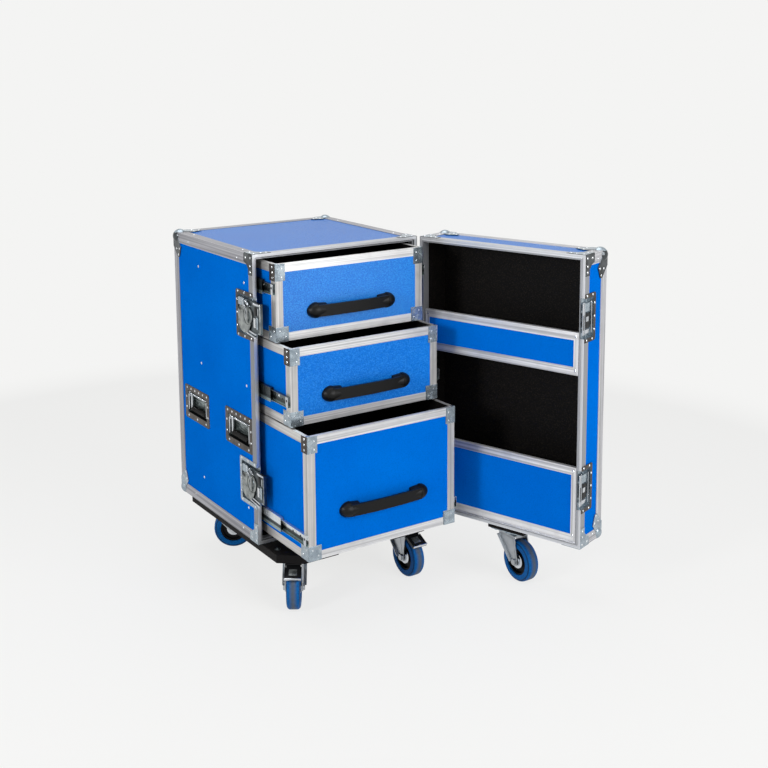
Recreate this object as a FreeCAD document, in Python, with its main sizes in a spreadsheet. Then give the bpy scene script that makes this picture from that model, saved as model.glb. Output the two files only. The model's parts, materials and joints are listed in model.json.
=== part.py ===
import FreeCAD, Part

# Drawer case on casters: a panelled cabinet with three drawers behind a deep hinged door.
# Frame: X to the right as one faces the drawers, Y to the back, Z up, millimetres.
# The origin is on the floor, under the middle of the cabinet.

import math
import os
import re

import Sketcher

# Driving dimensions
SIZES = {
    "case_width": 560.0,
    "case_depth": 530.0,
    "case_height": 850.0,
    "door_depth": 125.0,
    "door_angle": 108.5,
    "panel_thick": 9.0,
    "profile_thick": 1.5,
    "profile_leg": 32.0,
    "frame_depth": 24.0,
    "frame_wall": 14.0,
    "frame_web": 3.0,
    "tongue_wide": 5.4,
    "tongue_high": 3.5,
    "groove_room": 0.5,
    "corner_cube": 18.0,
    "ball_radius": 22.0,
    "ball_inset": 14.0,
    "leaf_thick": 1.5,
    "leaf_long": 77.0,
    "leaf_wide": 53.0,
    "leaf_waist": 45.0,
    "leaf_lean": 34.0,
    "leaf_tip": 6.0,
    "leaf_neck": 20.0,
    "leaf_heel": 8.0,
    "leaf_slope": 4.0,
    "brace_thick": 1.5,
    "brace_long": 50.0,
    "brace_tall": 60.0,
    "brace_top_arm": 30.0,
    "brace_side_arm": 23.0,
    "brace_slope": 12.0,
    "brace_fall": 6.0,
    "hinge_out": 7.0,
    "hinge_fore": 4.0,
    "hinge_tall": 72.0,
    "hinge_leaf": 36.0,
    "hinge_thick": 2.0,
    "knuckle_radius": 5.5,
    "pin_radius": 3.0,
    "hinge_low": 120.0,
    "hinge_drop": 130.0,
    "hinge_heel": 9.0,
    "hinge_tab": 10.0,
    "hinge_gap": 0.3,
    "pin_fit": 0.06,
    "board_thick": 24.0,
    "board_gap": 1.5,
    "board_inset": 10.0,
    "board_fore": 138.0,
    "board_aft": 4.0,
    "board_cut_x": 64.0,
    "board_cut_y": 50.0,
    "notch_left": 186.0,
    "notch_right": 374.0,
    "notch_back": 18.0,
    "notch_slope": 38.0,
    "door_board_left": 206.0,
    "door_board_wide": 124.0,
    "door_board_back": 32.0,
    "door_board_deep": 86.0,
    "door_packer_inset": 8.0,
    "caster_height": 154.0,
    "caster_front": 45.0,
    "caster_rear": 97.0,
    "caster_side": 92.0,
    "wheel_radius": 62.5,
    "wheel_wide": 40.0,
    "tyre_round": 10.0,
    "rim_radius": 42.0,
    "rim_step": 4.0,
    "rim_lip": 5.0,
    "rim_pit": 8.0,
    "hub_radius": 15.0,
    "hub_wide": 45.0,
    "axle_radius": 6.0,
    "axle_fit": 0.06,
    "trail": 38.0,
    "plate_long": 105.0,
    "plate_wide": 84.0,
    "plate_thick": 3.0,
    "plate_bolt_long": 80.0,
    "plate_bolt_wide": 60.0,
    "bolt_head": 6.5,
    "bolt_high": 4.0,
    "race_radius": 30.0,
    "race_high": 9.0,
    "fork_inside": 47.0,
    "fork_thick": 3.0,
    "fork_top_long": 76.0,
    "fork_flange": 9.0,
    "fork_foot": 13.0,
    "fork_brow": 12.0,
    "fork_heel": 4.0,
    "fork_cheek": 14.0,
    "fork_nose": 7.0,
    "axle_out": 2.0,
    "nut_high": 5.0,
    "nut_wide": 3.0,
    "swivel_gap": 0.3,
    "pedal_out": 50.0,
    "pedal_up": 136.0,
    "pedal_long": 56.0,
    "pedal_wide": 49.0,
    "pedal_root": 40.0,
    "pedal_neck": 14.0,
    "pedal_thick": 5.0,
    "pedal_drop": 27.0,
    "pedal_pin": 3.0,
    "pedal_sink": 2.0,
    "pedal_cheek": 2.0,
    "pedal_lip": 3.0,
    "swivel_front_left": -123.0,
    "swivel_front_right": -90.0,
    "swivel_rear_left": -28.0,
    "swivel_rear_right": -75.0,
    "swivel_door": -90.0,
    "latch_low": 174.0,
    "latch_drop": 179.0,
    "latch_tall": 138.0,
    "latch_deep": 104.0,
    "strike_deep": 62.0,
    "dish_margin": 12.0,
    "dish_depth": 11.0,
    "dish_thick": 1.2,
    "dish_round": 8.0,
    "dish_square": 20.0,
    "hook_reach": 37.0,
    "hook_tall": 88.0,
    "hook_thick": 4.0,
    "hook_lip": 7.0,
    "hook_travel": 9.0,
    "hook_in": 3.0,
    "hook_tail": 8.0,
    "hook_toe": 4.0,
    "slot_gap": 0.4,
    "keeper_in": 7.5,
    "keeper_near": 20.0,
    "keeper_far": 24.0,
    "knob_back": 34.0,
    "knob_radius": 25.0,
    "knob_thick": 2.6,
    "knob_proud": 0.4,
    "knob_shaft": 5.0,
    "shaft_seat": 0.1,
    "wing_long": 44.0,
    "wing_wide": 9.0,
    "wing_high": 3.0,
    "grip_front": 110.0,
    "grip_rear": 135.0,
    "grip_up": 315.0,
    "grip_plate_long": 172.0,
    "grip_plate_tall": 108.0,
    "grip_tub_long": 134.0,
    "grip_tub_tall": 70.0,
    "grip_tub_deep": 19.0,
    "bail_radius": 4.0,
    "bail_half": 56.0,
    "bail_drop": 46.0,
    "bail_rise": 24.0,
    "bail_in": 9.5,
    "grip_radius": 8.0,
    "grip_half": 47.0,
    "drawer_side": 32.0,
    "drawer_closed": 40.0,
    "drawer_rear": 35.0,
    "drawer_wall": 9.0,
    "drawer_trim": 1.2,
    "drawer_leg": 24.0,
    "drawer_head": 20.0,
    "drawer_rim": 5.0,
    "high_tall": 220.0,
    "high_gap": 4.0,
    "mid_tall": 220.0,
    "mid_gap": 5.0,
    "low_foot": 27.0,
    "low_pull": 274.0,
    "mid_pull": 187.0,
    "high_pull": 112.0,
    "cap_wide": 31.0,
    "cap_tall": 48.0,
    "foot_wide": 40.0,
    "foot_tall": 42.0,
    "rail_fore": 2.0,
    "rail_rear": 38.0,
    "rail_thick": 12.7,
    "rail_gauge": 1.2,
    "rail_tall": 45.0,
    "rail_mid_tall": 41.8,
    "rail_in_tall": 31.0,
    "rail_gap": 0.4,
    "rail_space": 0.8,
    "rail_outer_short": 1.4,
    "rail_middle_short": 1.7,
    "low_rail": 61.0,
    "mid_rail": 71.0,
    "high_rail": 150.0,
    "batten_tall": 24.0,
    "strap_half": 148.0,
    "strap_tall": 33.0,
    "strap_thick": 7.0,
    "strap_rise": 6.0,
    "strap_foot": 13.0,
    "strap_cap": 30.0,
    "strap_neck": 30.0,
    "strap_cap_tall": 46.0,
    "strap_cap_out": 25.0,
    "strap_in_cap": 2.0,
    "neck_start": 4.0,
    "neck_shrink": 1.0,
    "neck_grow": 4.0,
    "neck_flat": 3.0,
    "low_strap": 123.0,
    "mid_strap": 75.0,
    "high_strap": 76.0,
    "bin_inset": 19.0,
    "bin_back": 3.0,
    "bin_trim": 1.2,
    "bin_band": 22.0,
    "bin_end": 14.0,
    "bin_stave": 16.0,
    "bin_rear_band": 12.0,
    "bin_lift": 0.3,
    "low_bin_top": 236.0,
    "high_bin_drop": 222.0,
    "high_bin_tall": 121.0,
}

doc = FreeCAD.newDocument("drawer_case")
sheet = doc.addObject("Spreadsheet::Sheet", "sizes")
for row, (alias, size) in enumerate(SIZES.items(), start=1):
    sheet.set(f"A{row}", alias)
    sheet.set(f"B{row}", str(size))
    sheet.setAlias(f"B{row}", alias)
doc.recompute()

# Places that follow from the driving dimensions, as formulas of the sheet
LEFT = "(-case_width / 2)"
RIGHT = "(case_width / 2)"
FRONT = "(-case_depth / 2)"
BACK = "(case_depth / 2)"
BOTTOM = "(caster_height + board_thick + board_gap)"
TOP = f"({BOTTOM} + case_height)"
SKIN = "(profile_thick + panel_thick)"
HINGE_X = f"({RIGHT} + hinge_out)"
HINGE_Y = f"({FRONT} - hinge_fore)"
WORDS = re.compile(r"[a-z][a-z_]*[a-z]")
nodes = {}


def formula(text):
    """The text with every driving dimension pointed at the sheet."""
    return WORDS.sub(lambda m: "sizes." + m.group(0) if m.group(0) in SIZES else m.group(0), str(text))


def value(text):
    """The number that a formula stands for."""
    return float(sheet.evalExpression(formula(text)))


def bind(obj, prop, text):
    obj.setExpression(prop, formula(text))


def place(obj, at):
    for letter, text in zip("xyz", at):
        bind(obj, f".Placement.Base.{letter}", text)
    return obj


def name_of(kind):
    return f"{kind}_{len(doc.Objects)}"


def box(low, high):
    """A block between two corners given as formulas."""
    block = doc.addObject("Part::Box", name_of("block"))
    for prop, a, b in zip(("Length", "Width", "Height"), low, high):
        bind(block, prop, f"({b}) - ({a})")
    return place(block, low)


TURNS = {
    "X": FreeCAD.Rotation(FreeCAD.Vector(0, 1, 0), 90),
    "Y": FreeCAD.Rotation(FreeCAD.Vector(1, 0, 0), -90),
    "Z": FreeCAD.Rotation(),
}


def rod(at, axis, radius, length):
    """A cylinder that starts at a point and runs along +X, +Y or +Z."""
    bar = doc.addObject("Part::Cylinder", name_of("rod"))
    bind(bar, "Radius", radius)
    bind(bar, "Height", length)
    bar.Placement.Rotation = TURNS[axis]
    return place(bar, at)


def ball(at, radius):
    sphere = doc.addObject("Part::Sphere", name_of("ball"))
    bind(sphere, "Radius", radius)
    return place(sphere, at)


def fuse(parts):
    joined = doc.addObject("Part::MultiFuse", name_of("fuse"))
    joined.Shapes = parts
    return joined


def cut(base, tools):
    tool = tools[0] if len(tools) == 1 else group_of(tools)
    left = doc.addObject("Part::Cut", name_of("cut"))
    left.Base = base
    left.Tool = tool
    return left


def common(parts):
    kept = doc.addObject("Part::MultiCommon", name_of("common"))
    kept.Shapes = parts
    return kept


def group_of(parts):
    group = doc.addObject("Part::Compound", name_of("group"))
    group.Links = parts
    return group


def mirror(source, axis, at="0"):
    """The image of a piece in a plane square to X, Y or Z."""
    image = doc.addObject("Part::Mirroring", name_of("mirror"))
    image.Source = source
    image.Normal = FreeCAD.Vector(*(1.0 if letter == axis else 0.0 for letter in "XYZ"))
    bind(image, f"Base.{axis.lower()}", at)
    return image


def both(source, axis="X", at="0"):
    return [source, mirror(source, axis, at)]


def plate(plane, points, offset, thick):
    """A flat piece: a closed outline of straight lines on an origin plane, padded to its thickness."""
    body = doc.addObject("PartDesign::Body", name_of("body"))
    sketch = body.newObject("Sketcher::SketchObject", name_of("sketch"))
    sketch.AttachmentSupport = [(next(f for f in body.Origin.OriginFeatures if f.Role == plane), "")]
    sketch.MapMode = "FlatFace"
    bind(sketch, ".AttachmentOffset.Base.z", offset)
    spots = [FreeCAD.Vector(value(u), value(v), 0) for u, v in points]
    count = len(spots)
    for i, spot in enumerate(spots):
        sketch.addGeometry(Part.LineSegment(spot, spots[(i + 1) % count]), False)
    for i, (u, v) in enumerate(points):
        sketch.addConstraint(Sketcher.Constraint("Coincident", i, 2, (i + 1) % count, 1))
        for kind, text, number in (("DistanceX", u, spots[i].x), ("DistanceY", v, spots[i].y)):
            index = sketch.addConstraint(Sketcher.Constraint(kind, i, 1, number))
            bind(sketch, f"Constraints[{index}]", text)
    pad = body.newObject("PartDesign::Pad", name_of("pad"))
    pad.Profile = sketch
    bind(pad, "Length", thick)
    body.Tip = pad
    return body


def node(label, parts, joint=None):
    """Names a finished piece; its joint is a formula for its place, or None where it is modelled."""
    piece = parts if not isinstance(parts, list) else group_of(parts)
    piece.Label = label
    if joint:
        piece.setExpression("Placement", formula(joint))
    nodes[label] = piece
    return piece

# The cabinet's shell

MIDDLE = f"({BOTTOM} + case_height / 2)"
OUT = "1"
CLEAR = "9"
FAR = "60"


def ring_block(inset, y_low, y_high):
    """A block as wide and high as the cabinet less an inset all round."""
    return box(
        (f"{LEFT} + {inset}", y_low, f"{BOTTOM} + {inset}"),
        (f"{RIGHT} - ({inset})", y_high, f"{TOP} - ({inset})"),
    )


def corner_cubes(y_low, y_high):
    """The room for the ball corners at one end of a shell."""
    cubes = []
    across_x = ((f"{LEFT} - {OUT}", f"{LEFT} + corner_cube"), (f"{RIGHT} - corner_cube", f"{RIGHT} + {OUT}"))
    along_z = ((f"{BOTTOM} - {OUT}", f"{BOTTOM} + corner_cube"), (f"{TOP} - corner_cube", f"{TOP} + {OUT}"))
    for x_low, x_high in across_x:
        for z_low, z_high in along_z:
            cubes.append(box((x_low, y_low, z_low), (x_high, y_high, z_high)))
    return group_of(cubes)


BACK_CUBES = corner_cubes(f"{BACK} - corner_cube", f"{BACK} + {OUT}")
DOOR_OUT = f"({FRONT} - door_depth)"
DOOR_CUBES = corner_cubes(f"{DOOR_OUT} - {OUT}", f"{DOOR_OUT} + corner_cube")
LATCHES = {"low": "latch_low", "high": "(case_height - latch_drop)"}
GRIPS = {"front": f"({FRONT} + grip_front)", "rear": f"({BACK} - grip_rear)"}


def latch_room(z, y_low, y_high):
    """The hole that a latch dish needs in the side, as deep as the dish."""
    half = "(latch_tall / 2 - dish_margin + dish_thick)"
    return box(
        (f"{LEFT} - {OUT}", y_low, f"{BOTTOM} + {z} - {half}"),
        (f"{LEFT} + dish_depth + dish_thick", y_high, f"{BOTTOM} + {z} + {half}"),
    )


def grip_room(y):
    half_y = "(grip_tub_long / 2 + dish_thick)"
    half_z = "(grip_tub_tall / 2 + dish_thick)"
    return box(
        (f"{LEFT} - {OUT}", f"{y} - {half_y}", f"{BOTTOM} + grip_up - {half_z}"),
        (f"{LEFT} + {SKIN} + {OUT}", f"{y} + {half_y}", f"{BOTTOM} + grip_up + {half_z}"),
    )


def side_panel():
    return box(
        (f"{LEFT} + profile_thick", f"{FRONT} + frame_web", f"{BOTTOM} + profile_thick"),
        (f"{LEFT} + {SKIN}", f"{BACK} - profile_thick", f"{TOP} - profile_thick"),
    )


def lid_panel(z_low, z_high, y_low, y_high):
    return box((f"{LEFT} + {SKIN}", y_low, z_low), (f"{RIGHT} - {SKIN}", y_high, z_high))


LATCH_BACK = "(latch_deep - dish_margin + dish_thick)"
latch_rooms = [latch_room(z, f"{FRONT} - {OUT}", f"{FRONT} + {LATCH_BACK}") for z in LATCHES.values()]
grip_rooms = [grip_room(y) for y in GRIPS.values()]
node("left_panel", cut(side_panel(), [BACK_CUBES] + latch_rooms + grip_rooms))
node("right_panel", mirror(cut(side_panel(), [BACK_CUBES] + grip_rooms), "X"))
BOARD_Y = (f"{FRONT} + frame_web", f"{BACK} - profile_thick")
node("top_panel", cut(lid_panel(f"{TOP} - {SKIN}", f"{TOP} - profile_thick", *BOARD_Y), [BACK_CUBES]))
node(
    "bottom_panel",
    cut(lid_panel(f"{BOTTOM} + profile_thick", f"{BOTTOM} + {SKIN}", *BOARD_Y), [BACK_CUBES]),
)
back_panel = lid_panel(f"{BOTTOM} + {SKIN}", f"{TOP} - {SKIN}", f"{BACK} - {SKIN}", f"{BACK} - profile_thick")
node("back_panel", cut(back_panel, [BACK_CUBES]))


def cage(low, high, thick, room_low, room_high, windows, cubes):
    """Angle profiles along the edges of a block: a thin shell with a window in each face."""
    shell = box(low, high)
    cavity = box(room_low, room_high)
    return cut(shell, [cavity] + windows + cubes)


THIN = "profile_thick"
INNER_Y = f"{FRONT} + frame_depth"


def through_windows(y_low, y_high, y_clear_low, y_clear_high):
    """The windows of a cage: one block through both sides, one through top and bottom, one along Y."""
    leg = "profile_leg"
    side = box(
        (f"{LEFT} - {OUT}", y_clear_low, f"{BOTTOM} + {leg}"),
        (f"{RIGHT} + {OUT}", y_clear_high, f"{TOP} - {leg}"),
    )
    lid = box(
        (f"{LEFT} + {leg}", y_clear_low, f"{BOTTOM} - {OUT}"),
        (f"{RIGHT} - {leg}", y_clear_high, f"{TOP} + {OUT}"),
    )
    end = ring_block(leg, y_low, y_high)
    return [side, lid, end]


node(
    "case_profiles",
    cage(
        (LEFT, INNER_Y, BOTTOM),
        (RIGHT, BACK, TOP),
        THIN,
        (f"{LEFT} + {THIN}", f"{INNER_Y} - {OUT}", f"{BOTTOM} + {THIN}"),
        (f"{RIGHT} - {THIN}", f"{BACK} - {THIN}", f"{TOP} - {THIN}"),
        through_windows(
            f"{INNER_Y} - {OUT}", f"{BACK} + {OUT}", f"{INNER_Y} - {OUT}", f"{BACK} - profile_leg"
        )
        + latch_rooms,
        [BACK_CUBES],
    ),
)


def opening_ring(y_face, y_end, way):
    """The frame round an opening: it wraps the panels' edges in a slot."""
    low, high = sorted_pair(y_face, y_end, way)
    slot_low, slot_high = sorted_pair(f"{y_face} + {way} * frame_web", f"{y_end} + {way} * {OUT}", way)
    clear_near = f"{y_face} - {way} * 2 * tongue_high"
    clear_low, clear_high = sorted_pair(clear_near, f"{y_end} + {way} * {OUT}", way)
    slot = cut(ring_block("profile_thick", slot_low, slot_high), [ring_block(SKIN, slot_low, slot_high)])
    opening = ring_block("frame_wall", clear_low, clear_high)
    return low, high, [slot, opening]


def four_sides(ring, y_low, y_high):
    """The four extrusions that a ring is made of: two stiles and the rails between them."""
    sides = []
    for x_low, x_high in ((LEFT, f"{LEFT} + frame_wall"), (f"{RIGHT} - frame_wall", RIGHT)):
        sides.append(common([ring, box((x_low, y_low, BOTTOM), (x_high, y_high, TOP))]))
    for z_low, z_high in ((BOTTOM, f"{BOTTOM} + frame_wall"), (f"{TOP} - frame_wall", TOP)):
        stretch = box((f"{LEFT} + frame_wall", y_low, z_low), (f"{RIGHT} - frame_wall", y_high, z_high))
        sides.append(common([ring, stretch]))
    return sides


def sorted_pair(a, b, way):
    return (a, b) if way == "1" else (b, a)


GROOVE = "(frame_wall - tongue_wide)"
low, high, tools = opening_ring(FRONT, INNER_Y, "1")
groove = ring_block(GROOVE, f"{FRONT} - {OUT}", f"{FRONT} + tongue_high + groove_room")
ring = cut(ring_block("0", low, high), tools + [groove] + latch_rooms)
node("opening_frame", four_sides(ring, f"{FRONT} - {OUT}", f"{INNER_Y} + {OUT}"))

# Ball corners and corner braces

core = cut(ring_block("0", f"{FRONT} + 2 * leaf_long", BACK), [BACK_CUBES])
globe = ball((f"{LEFT} + ball_inset", f"{BACK} - ball_inset", f"{TOP} - ball_inset"), "ball_radius")
LEAF = "leaf_thick"


def leaf(edge, end, edge_way, end_way, swap=False):
    """The outline of a corner's leaf: a leaning lobe that starts under the ball and ends in a blunt tip."""
    spots = [
        ("leaf_heel", "leaf_heel"),
        ("-leaf_thick", "leaf_neck"),
        ("-leaf_thick", "leaf_waist"),
        ("leaf_lean - leaf_tip", "leaf_long"),
        ("leaf_lean + leaf_tip", "leaf_long"),
        ("leaf_wide", "leaf_waist"),
        ("leaf_neck + leaf_heel", "leaf_neck - leaf_slope"),
    ]
    outline = [(f"{edge} + {edge_way} * ({a})", f"{end} + {end_way} * ({b})") for a, b in spots]
    return [(v, u) for u, v in outline] if swap else outline


side_leaf = plate("YZ_Plane", leaf(BACK, TOP, "-1", "-1"), f"{LEFT} - {LEAF}", LEAF)
top_leaf = plate("XY_Plane", leaf(BACK, LEFT, "-1", "1", True), TOP, LEAF)
back_leaf = plate("XZ_Plane", leaf(LEFT, TOP, "1", "-1"), f"-({BACK} + {LEAF})", LEAF)
ball_corner = fuse([cut(globe, [core]), side_leaf, top_leaf, back_leaf])
upper_balls = both(ball_corner)
ball_corners = upper_balls + [mirror(b, "Z", MIDDLE) for b in upper_balls]


def ell(corner, a, b):
    """An L-shaped outline with a sloping inner corner, from a corner point along two directions."""
    (u, v), (du, dv) = corner, (a, b)
    arm, tall, top_arm, side_arm = "brace_long", "brace_tall", "brace_top_arm", "brace_side_arm"
    return [
        (u, v),
        (f"{u} + {du} * {arm}", v),
        (f"{u} + {du} * {arm}", f"{v} + {dv} * ({top_arm} - brace_fall)"),
        (f"{u} + {du} * ({side_arm} + brace_slope)", f"{v} + {dv} * {top_arm}"),
        (f"{u} + {du} * {side_arm}", f"{v} + {dv} * ({top_arm} + brace_slope)"),
        (f"{u} + {du} * {side_arm}", f"{v} + {dv} * {tall}"),
        (u, f"{v} + {dv} * {tall}"),
    ]


side_brace = plate("YZ_Plane", ell((FRONT, TOP), "1", "-1"), f"{LEFT} - brace_thick", "brace_thick")
top_brace = plate("XY_Plane", [(y, x) for x, y in ell((FRONT, LEFT), "1", "1")], TOP, "brace_thick")
upper_braces = both(side_brace) + both(top_brace)
braces = upper_braces + [mirror(b, "Z", MIDDLE) for b in upper_braces]
node("case_corners", ball_corners + braces)

# Recessed carrying handles, two on each side


def grip_dish(middle_y):
    middle_z = f"{BOTTOM} + grip_up"
    face = box(
        (LEFT, f"{middle_y} - grip_plate_long / 2", f"{middle_z} - grip_plate_tall / 2"),
        (f"{LEFT} + profile_thick", f"{middle_y} + grip_plate_long / 2", f"{middle_z} + grip_plate_tall / 2"),
    )
    deep = "(profile_thick + grip_tub_deep)"
    tub = box(
        (
            LEFT,
            f"{middle_y} - grip_tub_long / 2 - dish_thick",
            f"{middle_z} - grip_tub_tall / 2 - dish_thick",
        ),
        (
            f"{LEFT} + {deep} + dish_thick",
            f"{middle_y} + grip_tub_long / 2 + dish_thick",
            f"{middle_z} + grip_tub_tall / 2 + dish_thick",
        ),
    )
    hollow = box(
        (f"{LEFT} - {OUT}", f"{middle_y} - grip_tub_long / 2", f"{middle_z} - grip_tub_tall / 2"),
        (f"{LEFT} + {deep}", f"{middle_y} + grip_tub_long / 2", f"{middle_z} + grip_tub_tall / 2"),
    )
    return cut(fuse([rounded(face, "X", value("dish_round")), tub]), [hollow])


def rounded(block, axis, radius):
    """A block with its edges along one axis rounded."""
    block.recompute()
    soft = doc.addObject("Part::Fillet", name_of("round"))
    soft.Base = block
    picked = []
    for number, edge in enumerate(block.Shape.Edges, start=1):
        run = edge.Vertexes[1].Point - edge.Vertexes[0].Point
        if abs(getattr(run, axis.lower())) > 0.99 * run.Length:
            picked.append((number, radius, radius))
    soft.Edges = picked
    return soft


def bail(middle_y):
    """A sprung bail: pins in the dish, two legs, a cross bar and the sleeve that the hand holds."""
    x = f"{LEFT} + bail_in"
    top = f"{BOTTOM} + grip_up + bail_rise"
    low = f"{top} - bail_drop"
    parts = []
    for side in ("-1", "1"):
        leg_y = f"{middle_y} + {side} * bail_half"
        parts.append(rod((x, leg_y, low), "Z", "bail_radius", "bail_drop"))
        for z in (low, top):
            parts.append(ball((x, leg_y, z), "bail_radius"))
    reach = "(grip_tub_long / 2 - 0.3)"
    parts.append(rod((x, f"{middle_y} - {reach}", top), "Y", "bail_radius", f"{reach} - bail_half"))
    parts.append(rod((x, f"{middle_y} + bail_half", top), "Y", "bail_radius", f"{reach} - bail_half"))
    parts.append(rod((x, f"{middle_y} - bail_half", low), "Y", "bail_radius", "2 * bail_half"))
    sleeve = cut(
        rod((x, f"{middle_y} - grip_half", low), "Y", "grip_radius", "2 * grip_half"),
        [rod((x, f"{middle_y} - grip_half - 1", low), "Y", "bail_radius", "2 * grip_half + 2")],
    )
    return [fuse(parts), sleeve]


dishes = [grip_dish(y) for y in GRIPS.values()]
node("handle_dishes", dishes + [mirror(d, "X") for d in dishes])
for word, y in GRIPS.items():
    pieces = bail(y)
    node(f"bail_left_{word}", pieces)
    node(f"bail_right_{word}", [mirror(p, "X") for p in pieces])

# Butterfly latches on the opening's left edge


def latch_dish(z, y_face, way, deep):
    """A latch dish: a face plate round a tub that is open towards the other half."""
    middle = f"{BOTTOM} + {z}"
    half = "latch_tall / 2"
    rim = "dish_margin"
    gauge = "dish_thick"
    y_far = f"{y_face} + {way} * {deep}"
    face_low, face_high = sorted_pair(y_face, y_far, way)
    tub_low, tub_high = sorted_pair(y_face, f"{y_far} - {way} * ({rim} - {gauge})", way)
    room_low, room_high = sorted_pair(f"{y_face} - {way} * {OUT}", f"{y_far} - {way} * {rim}", way)
    face = box(
        (f"{LEFT} - profile_thick", face_low, f"{middle} - {half}"), (LEFT, face_high, f"{middle} + {half}")
    )
    edge_low, edge_high = sorted_pair(f"{y_face} - {way} * dish_square", y_far, way)
    blank = box(
        (f"{LEFT} - profile_thick", edge_low, f"{middle} - {half}"), (LEFT, edge_high, f"{middle} + {half}")
    )
    face = common([face, rounded(blank, "X", value("dish_round"))])
    tub = box(
        (f"{LEFT} - {gauge}", tub_low, f"{middle} - {half} + {rim} - {gauge}"),
        (f"{LEFT} + dish_depth + {gauge}", tub_high, f"{middle} + {half} - {rim} + {gauge}"),
    )
    hollow = box(
        (f"{LEFT} - 2 * profile_thick", room_low, f"{middle} - {half} + {rim}"),
        (f"{LEFT} + dish_depth", room_high, f"{middle} + {half} - {rim}"),
    )
    return cut(fuse([face, tub]), [hollow])


node("latch_dishes", [latch_dish(z, FRONT, "1", "latch_deep") for z in LATCHES.values()])
for word, z in LATCHES.items():
    middle = f"{BOTTOM} + {z}"
    shaft_y = f"{FRONT} + knob_back"
    hook_x = f"{LEFT} + hook_in"
    tongue = box(
        (hook_x, f"{FRONT} - hook_reach", f"{middle} - hook_tall / 2"),
        (f"{hook_x} + hook_thick", f"{shaft_y} + knob_radius + hook_tail", f"{middle} + hook_tall / 2"),
    )
    lip = box(
        (hook_x, f"{FRONT} - hook_reach", f"{middle} - hook_tall / 2"),
        (f"{hook_x} + hook_lip", f"{FRONT} - hook_reach + hook_toe", f"{middle} + hook_tall / 2"),
    )
    slot = box(
        (
            f"{hook_x} - {OUT}",
            f"{shaft_y} - knob_shaft - hook_travel - slot_gap",
            f"{middle} - knob_shaft - slot_gap",
        ),
        (f"{hook_x} + hook_lip", f"{shaft_y} + knob_shaft + slot_gap", f"{middle} + knob_shaft + slot_gap"),
    )
    node(f"latch_hook_{word}", cut(fuse([tongue, lip]), [slot]))
    disc_x = f"{LEFT} - knob_proud"
    disc = rod((disc_x, shaft_y, middle), "X", "knob_radius", "knob_thick")
    shaft = rod((disc_x, shaft_y, middle), "X", "knob_shaft", "dish_depth + shaft_seat")
    wing = box(
        (f"{disc_x} - wing_high", f"{shaft_y} - wing_wide / 2", f"{middle} - wing_long / 2"),
        (disc_x, f"{shaft_y} + wing_wide / 2", f"{middle} + wing_long / 2"),
    )
    node(f"latch_knob_{word}", fuse([disc, shaft, wing]))

# Slides for the drawers

LEVELS = ("low", "mid", "high")
HIGH_FOOT = "(case_height - drawer_head - high_tall)"
MID_FOOT = f"({HIGH_FOOT} - high_gap - mid_tall)"
FEET = {
    "low": f"({BOTTOM} + low_foot)",
    "mid": f"({BOTTOM} + {MID_FOOT})",
    "high": f"({BOTTOM} + {HIGH_FOOT})",
}
HEADS = {
    "low": f"({BOTTOM} + {MID_FOOT} - mid_gap)",
    "mid": f"({BOTTOM} + {HIGH_FOOT} - high_gap)",
    "high": f"({TOP} - drawer_head)",
}


def taper(start, end, seat, middle):
    """The neck of a handle cap: a loft from the half oval of its dome to a flatter one round the strap."""
    loft = doc.addObject("Part::Loft", name_of("neck"))
    sections = []
    first = f"({start} + neck_start)"
    wide_end = (first, "(strap_cap_tall - 2 * neck_shrink)", "(strap_cap_out - neck_shrink)")
    flat_end = (end, "(strap_tall + neck_grow)", "(strap_cap_out - neck_flat)")
    for x, tall, out in (wide_end, flat_end):
        arch = doc.addObject("Part::Ellipse", name_of("arch"))
        deep = value(out) > value(tall) / 2
        bind(arch, "MajorRadius", out if deep else f"{tall} / 2")
        bind(arch, "MinorRadius", f"{tall} / 2" if deep else out)
        arch.Placement.Rotation = SIDEWAYS if deep else UPRIGHT
        place(arch, (x, seat, middle))
        sections.append(arch)
    loft.Sections = sections
    loft.Solid = True
    return loft


UPRIGHT = FreeCAD.Rotation(FreeCAD.Vector(0, 1, 0), -90)
SIDEWAYS = FreeCAD.Rotation(FreeCAD.Vector(1, 1, 1), 120)
RAIL_X = f"({LEFT} + drawer_side - rail_thick)"
DRAWER_FACE = f"({FRONT} + drawer_closed)"
RAIL_FRONT = f"({DRAWER_FACE} + rail_fore)"
RAIL_LONG = f"({BACK} - rail_rear - {RAIL_FRONT})"


def channel(web_x, way, tip_x, level, half, flange, y_low):
    """A C-shaped rail: its web stands at web_x and its flanges reach tip_x."""
    middle = f"{FEET[level]} + {level}_rail"
    back = f"{web_x} + {way} * rail_gauge"
    outline = [
        (web_x, f"{middle} - {half}"),
        (tip_x, f"{middle} - {half}"),
        (tip_x, f"{middle} - {half} + {flange}"),
        (back, f"{middle} - {half} + {flange}"),
        (back, f"{middle} + {half} - {flange}"),
        (tip_x, f"{middle} + {half} - {flange}"),
        (tip_x, f"{middle} + {half}"),
        (web_x, f"{middle} + {half}"),
    ]
    return plate("XZ_Plane", outline, f"-({y_low} + {RAIL_LONG})", RAIL_LONG)


def pulled(share, level):
    """Where a piece stands with its drawer pulled out."""
    return (
        f"create(<<placement>>; create(<<vector>>; 0; -{share} * {level}_pull; 0); "
        "create(<<rotation>>; 0; 0; 0))"
    )


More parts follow.
